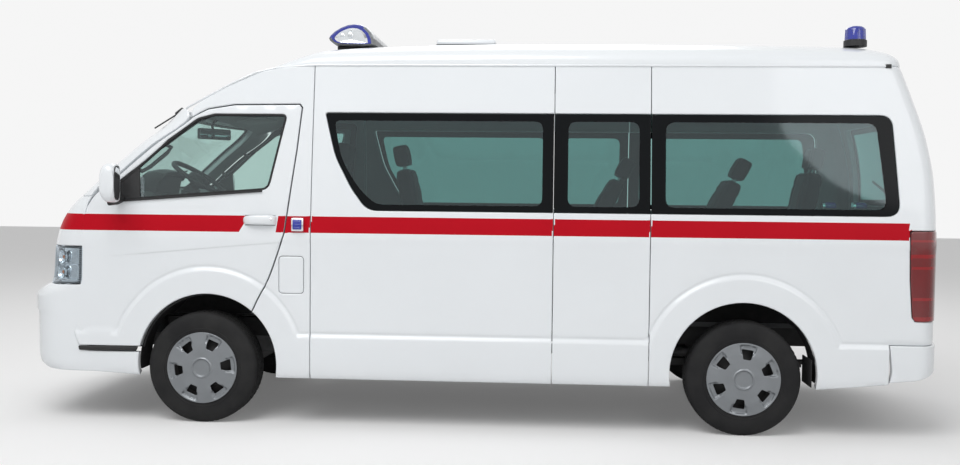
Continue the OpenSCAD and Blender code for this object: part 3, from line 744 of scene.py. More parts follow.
def side_piece(name, side, outline, holes, replaced=None):
    lines = stripe_lines(-1.2, SIDE_STRIPE_END)
    for cx, cz in ARCHES:
        for r in FLARE_RINGS:
            lines.append(arc_points(cx, cz, r, 15, 165, 30))
    for r in FLARE_RINGS:
        z = SILL_CREASE + r - FLARE_R
        lines.append([(-1.0, z), (2.3, z)])
    lines.append([(-1.05, 1.07), (2.4, 1.07)])
    lines.append([(-1.05, 1.056), (2.4, 1.056)])
    piece = panel(name, outline, side_surface(side), 0.045, BODY_SLOTS, "body", holes, 0.034,
                  lines, striped(-9, SIDE_STRIPE_END))
    if replaced:
        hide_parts(*replaced)
    return piece


def side_panels(side, name):
    """The fixed panels of one side; on the right the second one is the sliding door."""
    replaced = "left_side_panel" if side < 0 else "right_side_panel"
    holes = [grown(lid_outline, 0.003)] if side < 0 else []
    side_piece(name + "_pillar_panel", side, side_outline(0), holes, [replaced])
    low_edge, high_edge = BAND_LOW - 0.003, BAND_HIGH + 0.003
    for index in (1, 2, 3):
        outline = side_outline(index)
        if index == 1:
            a, b = outline[0][0], outline[1][0]
            low, high = (SILL_Z, BODY_TOP) if side < 0 else (0.300, 2.070)
            ring = anticlockwise(grown(glass_band[0], 0.003))
            ring = [p for p in ring if p[0] < b - 0.01]
            first = min(range(len(ring)), key=lambda i: (abs(ring[i][1] - high_edge) > 1e-3, -ring[i][0]))
            ring = ring[first:] + ring[:first]
            notch = [(b, high_edge)] + ring + [(b, low_edge)]
            outline = [(a, low), (b, low)] + notch[::-1] + [(b, high), (a, high)]
            label = "_front_panel" if side < 0 else "_sliding_door"
            side_piece(name + label, side, outline, [], None if side < 0 else ["sliding_door"])
            if side > 0:
                side_piece(name + "_sill", side, [(a, SILL_Z), (b, SILL_Z), (b, 0.296), (a, 0.296)], [])
                side_piece(name + "_rail", side,
                           [(a, 2.074), (b, 2.074), (b, BODY_TOP), (a, BODY_TOP)], [])
            continue
        if index == 2:
            a, b = outline[0][0], outline[1][0]
            side_piece(name + "_middle_low", side,
                       [(a, SILL_Z), (b, SILL_Z), (b, low_edge), (a, low_edge)], [])
            side_piece(name + "_middle_top", side,
                       [(a, high_edge), (b, high_edge), (b, BODY_TOP), (a, BODY_TOP)], [])
            continue
        a = SEAMS[2] + GAP / 2
        ring = anticlockwise(grown(glass_band[2], 0.003))
        ring = [p for p in ring if p[0] > a + 0.01]
        first = min(range(len(ring)), key=lambda i: (abs(ring[i][1] - low_edge) > 1e-3, ring[i][0]))
        ring = ring[first:] + ring[:first]
        outline = outline + [(a, high_edge)] + ring[::-1] + [(a, low_edge)]
        side_piece(name + "_rear_panel", side, outline, [])


def glass_paint(pane):
    """Clear glass inside the pane, black printed border outside it."""
    def paint_of(flat, spot):
        return 0 if inside(np.array([flat]), pane)[0] else 3
    return paint_of


def closed_line(outline):
    return list(outline) + [outline[0]]


def side_glazing(side, name):
    surface = side_surface(side)
    for index, (glass, pane) in enumerate(zip(glass_band, clear_pane)):
        piece = panel(f"{name}_{('front', 'middle', 'rear')[index]}", glass, surface, 0.006,
                      [side_glass, frit, frit, frit], "body", (), 0.045,
                      [closed_line(pane)], glass_paint(pane), edge=0.0015, back_index=None)
        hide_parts("side_glass_left" if side < 0 else "side_glass_right")


def sunk(surface, depth):
    """The surface moved in by depth."""
    def moved(u, v):
        h = 0.002
        base = surface(u, v)
        n = np.cross(surface(u + h, v) - surface(u - h, v), surface(u, v + h) - surface(u, v - h))
        n /= np.maximum(1e-12, np.linalg.norm(n, axis=-1))[..., None]
        outward = (n * base * np.array([0.33, 1, 0])).sum(-1)
        return base - depth * np.sign(outward)[..., None] * n
    return moved


# Slanted ends of the white gap in the stripe behind the door handle: X at the stripe's lower and upper edge
HANDLE_GAP = [(-1.353, -1.296), (-1.138, -1.124)]


def door_paint(flat, spot):
    front, rear = (np.interp(spot[2], STRIPE, ends) for ends in HANDLE_GAP)
    return 0 if front < spot[0] < rear else striped()(flat, spot)


def front_door(side, name):
    body = f"front_door_{name}"
    surface = side_surface(side)
    lines = stripe_lines(-2.3, -1.0)
    lines += [list(zip(ends, STRIPE)) for ends in HANDLE_GAP]
    cx, cz = ARCHES[0]
    for r in FLARE_RINGS:
        lines.append(arc_points(cx, cz, r, 50, 172, 28))
    for drop in (0.0, 0.007, 0.014):
        lines.append([(x, z - drop) for x, z in WAIST_FOLD])
    shell = panel(f"door_skin_{name}", door_outline, surface, 0.050, BODY_SLOTS, body,
                  [door_window], 0.032, lines, door_paint)
    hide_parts(f"front_door_{name}")
    glass = panel(f"door_glass_{name}", door_window, sunk(surface, 0.012), 0.005,
                  [door_glass] * 4, body, (), 0.05, (), None, edge=0.0012, back_index=None)
    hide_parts(f"door_glass_{name}")
    ring = [tuple(p) for p in shrink(door_window, 0.013)]
    panel(f"door_seal_{name}", door_window, sunk(surface, 0.002), 0.014, [rubber] * 4, body,
          [ring], 0.03, (), None, edge=0.002)
    frame_hole = [tuple(p) for p in shrink(anticlockwise(door_outline), 0.030)]
    panel(f"door_frame_seal_{name}", grown(door_outline, 0.012), sunk(surface, 0.053), 0.012, [rubber] * 4,
          "body", [frame_hole], 0.05, (), None)
    sail = rounded([(-2.068, 1.292), (-1.945, 1.301), (-1.955, 1.490), (-2.068, 1.402)], 0.012)
    panel(f"mirror_sail_{name}", sail, sunk(surface, 0.004), 0.012, [trim] * 4, body,
          (), 0.04, (), None)


side_panels(-1, "left")
side_panels(1, "right")
side_glazing(-1, "side_glass_left")
side_glazing(1, "side_glass_right")
front_door(-1, "left")
front_door(1, "right")
lid = panel("fuel_lid", lid_outline, side_surface(-1), 0.010, BODY_SLOTS, "fuel_lid", (),
            0.03)
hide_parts("fuel_lid")

# ---- nose, windscreen and bumper ----


def v_of_y(y, z):
    """Way round the nose from the centre line to where the body is y wide."""
    width = float(smooth_rows(width_rows, z))
    square = float(smooth_rows(square_rows, z))
    return NOSE_ARC * (1 - math.degrees(math.acos(min(1, y / width) ** (square / 2))) / 90)


def v_of_x(x, z):
    start = float(smooth_rows(start_rows, z))
    u = nose_u(x, z) if x < start else x
    return NOSE_ARC - (start - u)


def mirrored(right):
    """A closed outline from its right half, which runs from the bottom to the top."""
    return list(right) + [(-a, b) for a, b in reversed(right)]


COWL = 1.318
DOOR_FRONT = [(-2.269, 1.17), (-2.260, 1.257), (-2.240, 1.310)]
LENS_LOW, LENS_HIGH, LENS_INNER, LENS_REAR = 0.803, 1.020, 0.520, -2.272
nose_outline = mirrored(
    [(v_of_y(LENS_INNER - 0.004, LENS_LOW), LENS_LOW), (v_of_y(LENS_INNER - 0.004, 1.024), 1.024)]
    + [(v_of_x(-2.269, 1.024), 1.024)] + [(v_of_x(x, z), z)
                                          for x, z in DOOR_FRONT] + [(v_of_x(-2.236, COWL - 0.003), COWL - 0.003)])
grille_outline = rounded(mirrored([(v_of_y(0.505, 0.87), 0.868), (v_of_y(0.505, 1.01), 1.016)]), 0.02)
nose = panel("nose_skin", nose_outline, nose_face, 0.04, BODY_SLOTS, "body",
             [grille_outline], 0.034,
             [[(-1.2, z), (1.2, z)] for z in STRIPE], striped())
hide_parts("nose_panel")

SCREEN = [(0.800, 1.348), (0.735, 1.810), (0.700, 1.836)]
screen_outline = mirrored([(v_of_y(y, z), z) for y, z in SCREEN])
screen_outline = anticlockwise(rounded(screen_outline, 0.03))
door_top = [(-2.205, 1.370), (-2.085, 1.440), (-1.874, 1.628), (-1.668, 1.785), (-1.700, 1.834)]
pillar_outline = mirrored([(v_of_x(-2.240, COWL), COWL)] + [(v_of_x(x - 0.004, z), z)
                                                            for x, z in door_top] + [(0.60, 1.848), (0.3, 1.853)])
pillars = panel("cab_pillars", pillar_outline, nose_face, 0.045, BODY_SLOTS, "body",
                [grown(screen_outline, 0.002)], 0.034)
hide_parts("cab_frame")
screen_clear = [tuple(p) for p in shrink(screen_outline, 0.035)]
screen = panel("windscreen", screen_outline, nose_face, 0.006, [door_glass, frit, frit, frit], "body",
               (), 0.045, [closed_line(screen_clear)], glass_paint(screen_clear),
               edge=0.0015,
               back_index=None)
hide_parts("windscreen")

BUMPER_TOP = 0.797
bumper_right = [(v_of_y(0.75, 0.3), 0.298), (v_of_x(-2.20, 0.29), 0.290)]
bumper_right += [(v_of_x(x, z), z) for x, z in arch_edge(0, 180 + ARCH_DROP, 171.3, 6)]
bumper_right += [(v_of_x(-2.254, 0.411), 0.411), (v_of_x(-2.269, 0.520), 0.520),
                 (v_of_x(-2.269, BUMPER_TOP), BUMPER_TOP)]
intake_outline = rounded(mirrored([(v_of_y(0.56, 0.385), 0.385), (v_of_y(0.50, 0.520), 0.520)]), 0.03)
bumper = panel("front_bumper_skin", mirrored(bumper_right), nose_face, 0.04,
               [paint, paint, trim, stripe], "body",
               [intake_outline], 0.03, [[(-1.1, z), (1.1, z)] for z in (0.645, 0.735)])
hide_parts("front_bumper")
# ---- mesh builder ----


class Parts:
    """Shapes gathered into one piece, each with its own material."""

    def __init__(self):
        self.verts, self.faces, self.indices, self.materials = [], [], [], []

    def add(self, verts, faces, material):
        if material not in self.materials:
            self.materials.append(material)
        first = len(self.verts)
        self.verts += [tuple(float(c) for c in v) for v in verts]
        self.faces += [tuple(first + i for i in face) for face in faces]
        self.indices += [self.materials.index(material)] * len(faces)

    def box(self, low, high, material, radius=0.004, turn=None, segments=3):
        """A box with rounded edges; turn is (axis, degrees) about its centre."""
        low, high = Vector(low), Vector(high)
        centre, size = (low + high) / 2, high - low
        shape = bmesh.new()
        bmesh.ops.create_cube(shape, size=1.0)
        for vert in shape.verts:
            vert.co = Vector(a * b for a, b in zip(vert.co, size))
        radius = min(radius, 0.49 * min(size))
        if radius > 0:
            bmesh.ops.bevel(shape, geom=shape.edges[:], offset=radius, segments=segments, profile=0.5,
                            affect="EDGES")
        spin = Matrix.Rotation(math.radians(turn[1]), 3, turn[0]) if turn else Matrix.Identity(3)
        shape.verts.index_update()
        self.add([centre + spin @ v.co for v in shape.verts],
                 [[v.index for v in f.verts] for f in shape.faces], material)
        shape.free()

    def loft(self, rings, material, caps=True):
        """Closed rings of equal length joined in order.

        The material is one, or a function of a face's middle.
        """
        rings = [np.array(r, float) for r in rings]
        size = len(rings[0])
        faces = []
        for k in range(len(rings) - 1):
            for i in range(size):
                j = (i + 1) % size
                faces.append((k * size + i, k * size + j, (k + 1) * size + j, (k + 1) * size + i))
        verts = np.concatenate(rings)
        if caps:
            faces.append(tuple(range(size))[::-1])
            faces.append(tuple((len(rings) - 1) * size + i for i in range(size)))
        if not callable(material):
            self.add(verts, faces, material)
            return
        groups = {}
        for face in faces:
            groups.setdefault(material(verts[list(face)].mean(0)), []).append(face)
        for kind, chosen in groups.items():
            self.add(verts, chosen, kind)

    def lathe(self, rows, centre, axis, material, steps=48, caps=True):
        """Turned shape: rows are (distance along the axis, radius)."""
        axis = Vector(axis).normalized()
        across = axis.orthogonal().normalized()
        upright = axis.cross(across)
        angles = [2 * math.pi * k / steps for k in range(steps)]
        self.loft([[Vector(centre) + axis * a + (across * math.cos(t) + upright * math.sin(t)) * max(r,
                                                                                                     1e-5)
                    for t in angles] for a, r in rows], material, caps)

    def tube(self, path, radius, material, steps=10, closed=False, flat=1.0):
        """Round bar along a path; flat squeezes it in its second direction."""
        path = [Vector(p) for p in path]
        count = len(path)
        rings, up = [], None
        for i in range(count):
            if closed:
                along = (path[(i + 1) % count] - path[i - 1]).normalized()
            else:
                along = (path[min(i + 1, count - 1)] - path[max(i - 1, 0)]).normalized()
            up = (up - along * up.dot(along)).normalized() if up else along.orthogonal().normalized()
            across = along.cross(up)
            rings.append([path[i] + radius * (up * math.cos(t) + across * flat * math.sin(t))
                          for t in [2 * math.pi * k / steps for k in range(steps)]])
        if closed:
            rings.append(rings[0])
        self.loft(rings, material, not closed)

    def done(self, name, body, replaces=(), sharp=38):
        piece = mesh_piece(name, self.verts, self.faces, self.materials, body, self.indices)
        shape = bmesh.new()
        shape.from_mesh(piece.data)
        bmesh.ops.recalc_face_normals(shape, faces=shape.faces[:])
        shape.to_mesh(piece.data)
        shape.free()
        piece.data.set_sharp_from_angle(angle=math.radians(sharp))
        if replaces:
            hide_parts(*replaces)
        return piece


def oval(cx, cz, a, b, power=2.0, steps=40):
    """Superellipse as (x, z) pairs."""
    points = []
    for k in range(steps):
        t = 2 * math.pi * k / steps
        c, s = math.cos(t), math.sin(t)
        points.append((cx + a * math.copysign(abs(c) ** (2 / power), c),
                       cz + b * math.copysign(abs(s) ** (2 / power), s)))
    return points


# ---- roof ----

ROOF_POWER = 2.7
ROOF_BOW = 0.15
ROOF_THICK = 0.045


def gutter_at(x):
    return float(smooth_rows(gutter_rows, x))


def roof_ring(x, sink):
    """Points across the roof behind centre-line X, from the left gutter to the right one."""
    low = min(gutter_at(x), float(smooth_rows(crown_rows, x)) - 0.004)
    edge = skin(nose_u(x, low) if x < float(smooth_rows(start_rows, low)) else x, low)
    tail_start = float(smooth_rows(tail_rows, low)) - TAIL_DEPTH
    width = -float(edge[1])
    if x > tail_start:
        share = min(0.999, (x - tail_start) / TAIL_DEPTH)
        width = float(smooth_rows(width_rows, low)) * (1 - share ** TAIL_POWER) ** (1 / TAIL_POWER)
    crown = float(smooth_rows(crown_rows, x))
    fade = 1 - float(smooth_step((x + 1.5) / 0.7))
    points = []
    for k in range(57):
        t = math.pi * (1 - k / 56)
        c, s = math.cos(t), math.sin(t)
        y = (width - sink * 0.4) * math.copysign(abs(c) ** (2 / ROOF_POWER), c)
        z = low - sink * 0.3 + (crown - low - sink * 0.7) * max(0.0, s) ** (2 / ROOF_POWER)
        points.append((x + fade * ROOF_BOW * abs(y / 0.83) ** 2.5, y, z))
    return points


def make_roof():
    roof = Parts()
    places = list(np.linspace(-1.826, -0.4, 40)) + list(np.linspace(-0.35, 2.2,
                                                                    30)) + list(np.linspace(2.22, 2.446,
                                                                                            14))
    top = [roof_ring(x, 0.0) for x in places]
    under = [roof_ring(x, ROOF_THICK) for x in places]
    loops = [a + b[::-1] for a, b in zip(top, under)]
    size = len(top[0])
    rings = [np.array(r) for r in loops]
    verts = np.concatenate(rings)
    count = 2 * size
    outer, inner = [], []
    for k in range(len(rings) - 1):
        for i in range(count):
            j = (i + 1) % count
            face = (k * count + i, k * count + j, (k + 1) * count + j, (k + 1) * count + i)
            (inner if size <= i < count - 1 else outer).append(face)
    for k in (0, len(rings) - 1):
        for i in range(size - 1):
            outer.append((k * count + i, k * count + i + 1, k * count + count - 2 - i,
                          k * count + count - 1 - i))
    roof.add(verts, outer, paint)
    roof.add(verts, inner, lining)
    roof.done("roof", "body", ["roof_panel"], 40)
    strip = Parts()
    for side in (-1, 1):
        path = [(x, z) for x, z in gutter_front] + [(x, GUTTER_Z - 0.002) for x in np.arange(-0.8, 2.37,
                                                                                             0.12)]
        line = []
        for x, z in path:
            u = nose_u(x, z) if x < float(smooth_rows(start_rows, z)) else x
            spot = skin(u, z - 0.004, side)
            line.append((spot[0], spot[1] + side * 0.001, spot[2]))
        strip.tube(line, 0.0065, paint, 8)
        end = line[-1]
        strip.box((end[0] - 0.012, end[1] - 0.007, end[2] - 0.011),
                  (end[0] + 0.02, end[1] + 0.007, end[2] + 0.011),
                  trim, 0.003)
    strip.done("gutter_strips", "body")


make_roof()

# ---- tail ----


def tail_face(v, z):
    """Point on the tail, where v is the way round from the centre line, left negative."""
    end = smooth_rows(tail_rows, z) - TAIL_DEPTH
    point = skin(end + TAIL_ARC - np.abs(v), z)
    point[..., 1] *= -np.sign(v)
    return point


GATE_EDGE = TAIL_ARC - TAIL_TURN
gate_outline = rounded(mirrored([(GATE_EDGE - 0.008, 0.562), (GATE_EDGE - 0.008, 1.9),
                                 (GATE_EDGE - 0.03, 2.098)]),
                       [0.03, 0, 0.1, 0.1, 0, 0.03])
gate_window = rounded(mirrored([(0.50, 1.300), (0.47, 1.830)]), 0.06)
gate = panel("tailgate_skin", gate_outline, tail_face, 0.045, BODY_SLOTS, "tailgate",
             [gate_window], 0.034, [[(-1, z), (1, z)] for z in STRIPE], striped())
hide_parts("tailgate")
gate_pane = shrink(anticlockwise(gate_window), 0.04)
gate_glass = panel("tailgate_window", gate_window, sunk(tail_face, 0.003), 0.005,
                   [side_glass, frit, frit, frit],
                   "tailgate", (), 0.05, [closed_line(gate_pane)], glass_paint(gate_pane),
                   edge=0.0012, back_index=None)
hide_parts("tailgate_glass")
gate_trim = Parts()
gate_trim.box((2.648, -0.19, 0.975), (2.672, 0.19, 1.012), chrome, 0.008)
gate_trim.box((2.640, -0.055, 0.930), (2.664, 0.055, 0.972), trim, 0.008)
gate_trim.tube([(2.612, 0.0, 1.300), (2.632, 0.02, 1.305), (2.600, 0.12, 1.40), (2.585, 0.30, 1.46)],
               0.008, trim, 8)
gate_trim.done("tailgate_handle", "tailgate")


def rear_bumper_face(v, z):
    point = tail_face(v, z)
    end = smooth_rows(tail_rows, z) - TAIL_DEPTH
    reach = np.clip((point[..., 0] - end) / TAIL_DEPTH, 0, 1)
    point[..., 0] += 0.026 * reach ** 3
    return point


def tail_v(x, z):
    """Way round the tail to where the side is at X."""
    return TAIL_ARC - (x - (float(smooth_rows(tail_rows, z)) - TAIL_DEPTH))


bumper_half = [(tail_v(BUMPER_SEAM + GAP, 0.322), 0.322), (tail_v(BUMPER_SEAM + GAP, 0.530), 0.530)]
rear_outline = ([(a, b) for a, b in [(0.75, 0.366), (0.30, 0.372)]][::-1] + bumper_half)
rear_skin = panel("rear_bumper_skin", mirrored(rear_outline), rear_bumper_face, 0.04,
                  [paint, paint, trim, stripe], "body", (), 0.034,
                  [[(-1.3, 0.505), (1.3, 0.505)]])
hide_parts("rear_bumper")
rear_trim = Parts()
rear_trim.box((2.672, -0.235, 0.405), (2.684, 0.235, 0.520), paint, 0.003)
for y in (-0.105, 0.105):
    rear_trim.lathe([(0, 0.007), (0.004, 0.007), (0.006, 0.004)], (2.683, y, 0.470), (1, 0, 0), chrome, 16)
rear_trim.box((2.40, -0.62, 0.5305), (2.655, 0.62, 0.538), trim, 0.003)
rear_trim.done("rear_plate", "body")

LAMP_LINES = ((1.030, 0.010), (0.965, 0.007), (0.792, 0.008), (0.683, 0.010), (1.115, 0.006))


def lamp_paint(flat, spot):
    return 3 if any(abs(spot[2] - z) < h for z, h in LAMP_LINES) else 0


def tail_lamps():
    for side, name in ((-1, "left"), (1, "right")):
        outline = LAMP_FRONT + [(tail_u(0.665) - 0.055, 0.665), (tail_u(0.80) - 0.02, 0.80),
                                      (tail_u(0.95) - 0.008, 0.95), (tail_u(1.168) - 0.006, 1.168)]
        outline = rounded(anticlockwise([(a + 0.004, b) for a, b in outline]), 0.02)
        lines = [[(2.3, z + s * h), (3.2, z + s * h)] for z, h in LAMP_LINES for s in (-1, 1)]
        panel(f"tail_lamp_seat_{name}", grown(outline, 0.004), sunk(side_surface(side), 0.010), 0.02,
              [trim] * 4, "body", (), 0.05)
        lamp = panel(f"tail_lamp_{name}", outline, lifted(side_surface(side), 0.004), 0.012,
                     [lens_red_dark, lens_red_dark, trim, lens_red], "body", (), 0.03,
                     lines, lamp_paint)
        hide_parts("tail_lamps")


def lifted(surface, height):
    return sunk(surface, -height)


tail_lamps()

# ---- front lamps, grille and bumper parts ----


def face_point(surface, a, b, out=0.0):
    """One point of a surface, moved outwards by out."""
    return Vector(sunk(surface, -out)(np.array([a]), np.array([b]))[0])


def front_lamp(side, name):
    inner, rear = v_of_y(LENS_INNER, 0.9), v_of_x(LENS_REAR, 0.9)
    corners = [(inner, LENS_LOW), (rear, LENS_LOW), (rear, LENS_HIGH), (inner, LENS_HIGH)]
    outline = [(side * a, b) for a, b in rounded(corners, [0.02, 0.008, 0.008, 0.02])]
    outline = anticlockwise(outline)
    lens = panel(f"headlight_lens_{name}", outline, nose_face, 0.004, [lens_clear] * 4, "body",
                 (), 0.04, back_index=None)
    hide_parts("headlights")
    band = side * (rear - 0.035)

    def bowl_paint(flat, spot):
        return 3 if abs(flat[0]) > abs(band) or flat[1] > LENS_HIGH - 0.012 else 0

    panel(f"headlight_bowl_{name}", outline, sunk(nose_face, 0.045), 0.004,
          [reflector, trim, trim, plastic_dark], "body", (), 0.03,
          [[(band, 0.7), (band, 1.1)], [(-1.2, LENS_HIGH - 0.012), (1.2, LENS_HIGH - 0.012)]], bowl_paint)
    inside_parts = Parts()
    for share, z, r in ((0.30, 0.955, 0.048), (0.30, 0.862, 0.046), (0.66, 0.955, 0.040),
                        (0.66, 0.866, 0.040)):
        v = side * (inner + (rear - inner) * share)
        spot = face_point(nose_face, v, z, -0.045)
        front = face_point(nose_face, v, z, -0.012)
        way = (front - spot).normalized()
        inside_parts.lathe([(0.0, r * 0.5), (0.001, r * 0.62), (0.012, r * 0.88), (0.026, r), (0.029, r),
                            (0.027, r * 0.95), (0.013, r * 0.8), (0.006, r * 0.3)], spot, way,
                            reflector, 36)
        bulb = chrome if share < 0.5 else lens_amber
        inside_parts.lathe([(0.004, 0.011), (0.016, 0.011), (0.021, 0.005)], spot, way, bulb, 20)
    for z in (0.812, 0.823, 0.909):
        line = [face_point(nose_face, side * v, z, -0.030) for v in np.linspace(inner + 0.01,
                                                                                rear - 0.05, 14)]
        inside_parts.tube(line, 0.0045, reflector, 8)
    strips = [(rear - 0.030, rear - 0.004, z) for z in np.linspace(LENS_LOW + 0.012, LENS_HIGH - 0.012, 17)]
    for a, b, z in strips + [(inner + 0.006, rear - 0.006, LENS_LOW + 0.006),
                             (inner + 0.006, rear - 0.006, LENS_HIGH - 0.006)]:
        line = [face_point(nose_face, side * v, z, -0.009) for v in np.linspace(a, b, 9)]
        inside_parts.tube(line, 0.0060, plastic_dark, 8, flat=0.6)
    inside_parts.done(f"headlight_inside_{name}", "body")


def front_face_parts():
    bars = Parts()
    for z in (0.880, 0.905, 0.930, 0.955, 0.980, 1.004):
        line = [face_point(nose_face, v, z, -0.012) for v in np.linspace(-v_of_y(0.49, z),
                                                                         v_of_y(0.49, z), 37)]
        bars.tube(line, 0.0085, chrome if z in (0.880, 1.004) else silver, 8, flat=1.5)
    frame_line = [face_point(nose_face, a, b, -0.003) for a, b in divided(grille_outline, 0.03)]
    bars.tube(frame_line, 0.008, chrome, 8, closed=True)
    grille_piece = bars.done("grille_bars", "body")
    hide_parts("grille")
    panel("grille_back", grille_outline, sunk(nose_face, 0.05), 0.006, [trim] * 4, "body",
          (), 0.05)
    panel("intake_back", intake_outline, sunk(nose_face, 0.05), 0.006, [trim] * 4, "body",
          (), 0.05)
    low = Parts()
    for z in (0.415, 0.452, 0.489):
        line = [face_point(nose_face, v, z, -0.022) for v in np.linspace(-v_of_y(0.52, z),
                                                                         v_of_y(0.52, z), 31)]
        low.tube(line, 0.006, trim, 8, flat=1.4)
    for side in (-1, 1):
        spot = face_point(nose_face, side * v_of_y(0.69, 0.46), 0.46, -0.012)
        way = (face_point(nose_face, side * v_of_y(0.69, 0.46), 0.46, 0.02) - spot).normalized()
        low.lathe([(0.0, 0.052), (0.014, 0.052), (0.016, 0.046), (0.013, 0.044)], spot, way, trim, 32)
        low.lathe([(0.008, 0.042), (0.015, 0.040), (0.0175, 0.025)], spot, way, lens_pale, 32)
    low.box((-2.6885, -0.220, 0.536), (-2.676, 0.220, 0.632), paint, 0.003)
    low.done("bumper_parts", "body")
    wiping = Parts()
    for start, end in ((-0.62, -0.10), (0.10, 0.62)):
        foot = face_point(nose_face, v_of_y(abs(start), 1.36) * (-1 if start < 0 else 1), 1.362, 0.012)
        arm = [face_point(nose_face, v_of_y(abs(y), 1.40) * (-1 if y < 0 else 1), z, 0.014)
               for y, z in ((start, 1.362), (start * 0.8 + end * 0.2, 1.385),
                            (start * 0.5 + end * 0.5, 1.43))]
        wiping.tube(arm, 0.006, trim, 8)
        wiping.lathe([(0, 0.014), (0.012, 0.012)], foot - Vector((0, 0, 0.01)), (-0.6, 0, 0.8), trim, 20)
        blade = [face_point(nose_face, v_of_y(abs(y), 1.42) * (-1 if y < 0 else 1), 1.36 + 0.13 * t, 0.008)
                 for t, y in [(t, start + (end - start) * t) for t in np.linspace(0.02, 1, 10)]]
        wiping.tube(blade, 0.006, trim, 8)
    wipers = wiping.done("wiper_arms", "body")
    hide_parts("wipers")
    rod = Parts()
    rod.box((-1.815, -0.718, 1.814), (-1.755, -0.694, 1.836), trim, 0.008, ("Y", -38))
    rod.tube([(-1.806, -0.706, 1.806), (-1.860, -0.722, 1.768), (-1.925, -0.742, 1.722)], 0.0045, trim, 8)
    rod.done("pillar_aerial", "body")


front_lamp(-1, "left")
front_lamp(1, "right")
front_face_parts()

# ---- door parts ----


def mirror_back(y):
    """X of the mirror's rear face, which turns in towards the driver."""
    return -2.045 + 0.2 * (y - 0.96)


def door_parts(side, name):
    body = f"front_door_{name}"
    surface = side_surface(side)
    pull = Parts()
    grip = []
    for x, out, thick, tall in ((-1.328, 0.001, 0.003, 0.010), (-1.322, 0.006, 0.006, 0.018),
                                (-1.305, 0.017, 0.009, 0.024),
                                (-1.280, 0.025, 0.010, 0.026), (-1.230, 0.029, 0.010, 0.027),
                                (-1.180, 0.028, 0.010, 0.027),
                                (-1.155, 0.022, 0.010, 0.027), (-1.140, 0.010, 0.008, 0.025),
                                (-1.134, 0.001, 0.003, 0.018)):
        middle = face_point(surface, x, 1.186, out)
        grip.append([middle + Vector((0, side * thick * math.cos(t), tall * math.sin(t)))
                     for t in [2 * math.pi * k / 20 for k in range(20)]])
    pull.loft(grip, paint)
    pull.lathe([(0.026, 0.0075), (0.0345, 0.0075), (0.036, 0.005)],
               face_point(surface, -1.160, 1.192, 0.0), (0, side, 0),
               chrome, 20)
    for z, tall in ((1.158, 0.0022), (1.2135, 0.0018)):
        edge_line = [face_point(surface, x, z, 0.0005) for x in np.linspace(-1.318, -1.140, 9)]
        pull.tube(edge_line, tall, grey_plastic, 6)
    pull.done(f"door_handle_{name}", body)
    strip = rounded([(-2.250, 0.415), (-1.962, 0.415), (-1.950, 0.441), (-2.252, 0.441)], 0.006)
    panel(f"door_strip_{name}", strip, surface, 0.012, [trim] * 4, "body", (), 0.04)
    glass_line = [face_point(surface, a, b, 0.004)
                  for a, b in ((-2.062, 1.288), (-1.60, 1.325), (-1.222, 1.355))]
    waist = Parts()
    waist.tube(glass_line, 0.008, rubber, 8, flat=0.5)
    waist.done(f"waist_seal_{name}", body)
    housing = Parts()
    rings = []
    for k, (y, grow) in enumerate(((0.962, 0.62), (0.975, 0.86), (1.0, 0.96), (1.05, 1.0),
                                   (1.095, 0.98), (1.12, 0.90),
                                   (1.135, 0.74), (1.139, 0.45))):
        ring = oval(-2.052, 1.392, 0.054 * grow, 0.112 * grow, 2.6, 40)
        ring = [(min(x, mirror_back(y)) if x > -2.052 else x, z) for x, z in ring]
        rings.append([(x, side * y, z) for x, z in ring])
    housing.loft(rings, paint)
    plate = [(y, z) for y, z in oval(1.050, 1.392, 0.074, 0.098, 3.2, 36)]
    housing.loft([[(mirror_back(y) + out, side * y, z) for y, z in plate] for out in (-0.001, 0.002)], trim)
    glass_face = [(y, z) for y, z in oval(1.050, 1.392, 0.067, 0.091, 3.2, 36)]
    housing.loft([[(mirror_back(y) + out, side * y, z) for y, z in glass_face] for out in (0.002, 0.0035)],
                 mirror_glass)
    arm = [face_point(surface, -2.050, 1.300, -0.004), Vector((-2.062, side * 0.955, 1.286)),
           Vector((-2.075, side * 1.03, 1.282))]
    housing.tube(arm, 0.022, trim, 14, flat=0.8)
    mirror = housing.done(f"door_mirror_{name}", body)
    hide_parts(f"mirror_{name}")


door_parts(-1, "left")
door_parts(1, "right")

# ---- roof fittings ----


BAR_FRONT, BAR_Y = -0.945, 0.4495


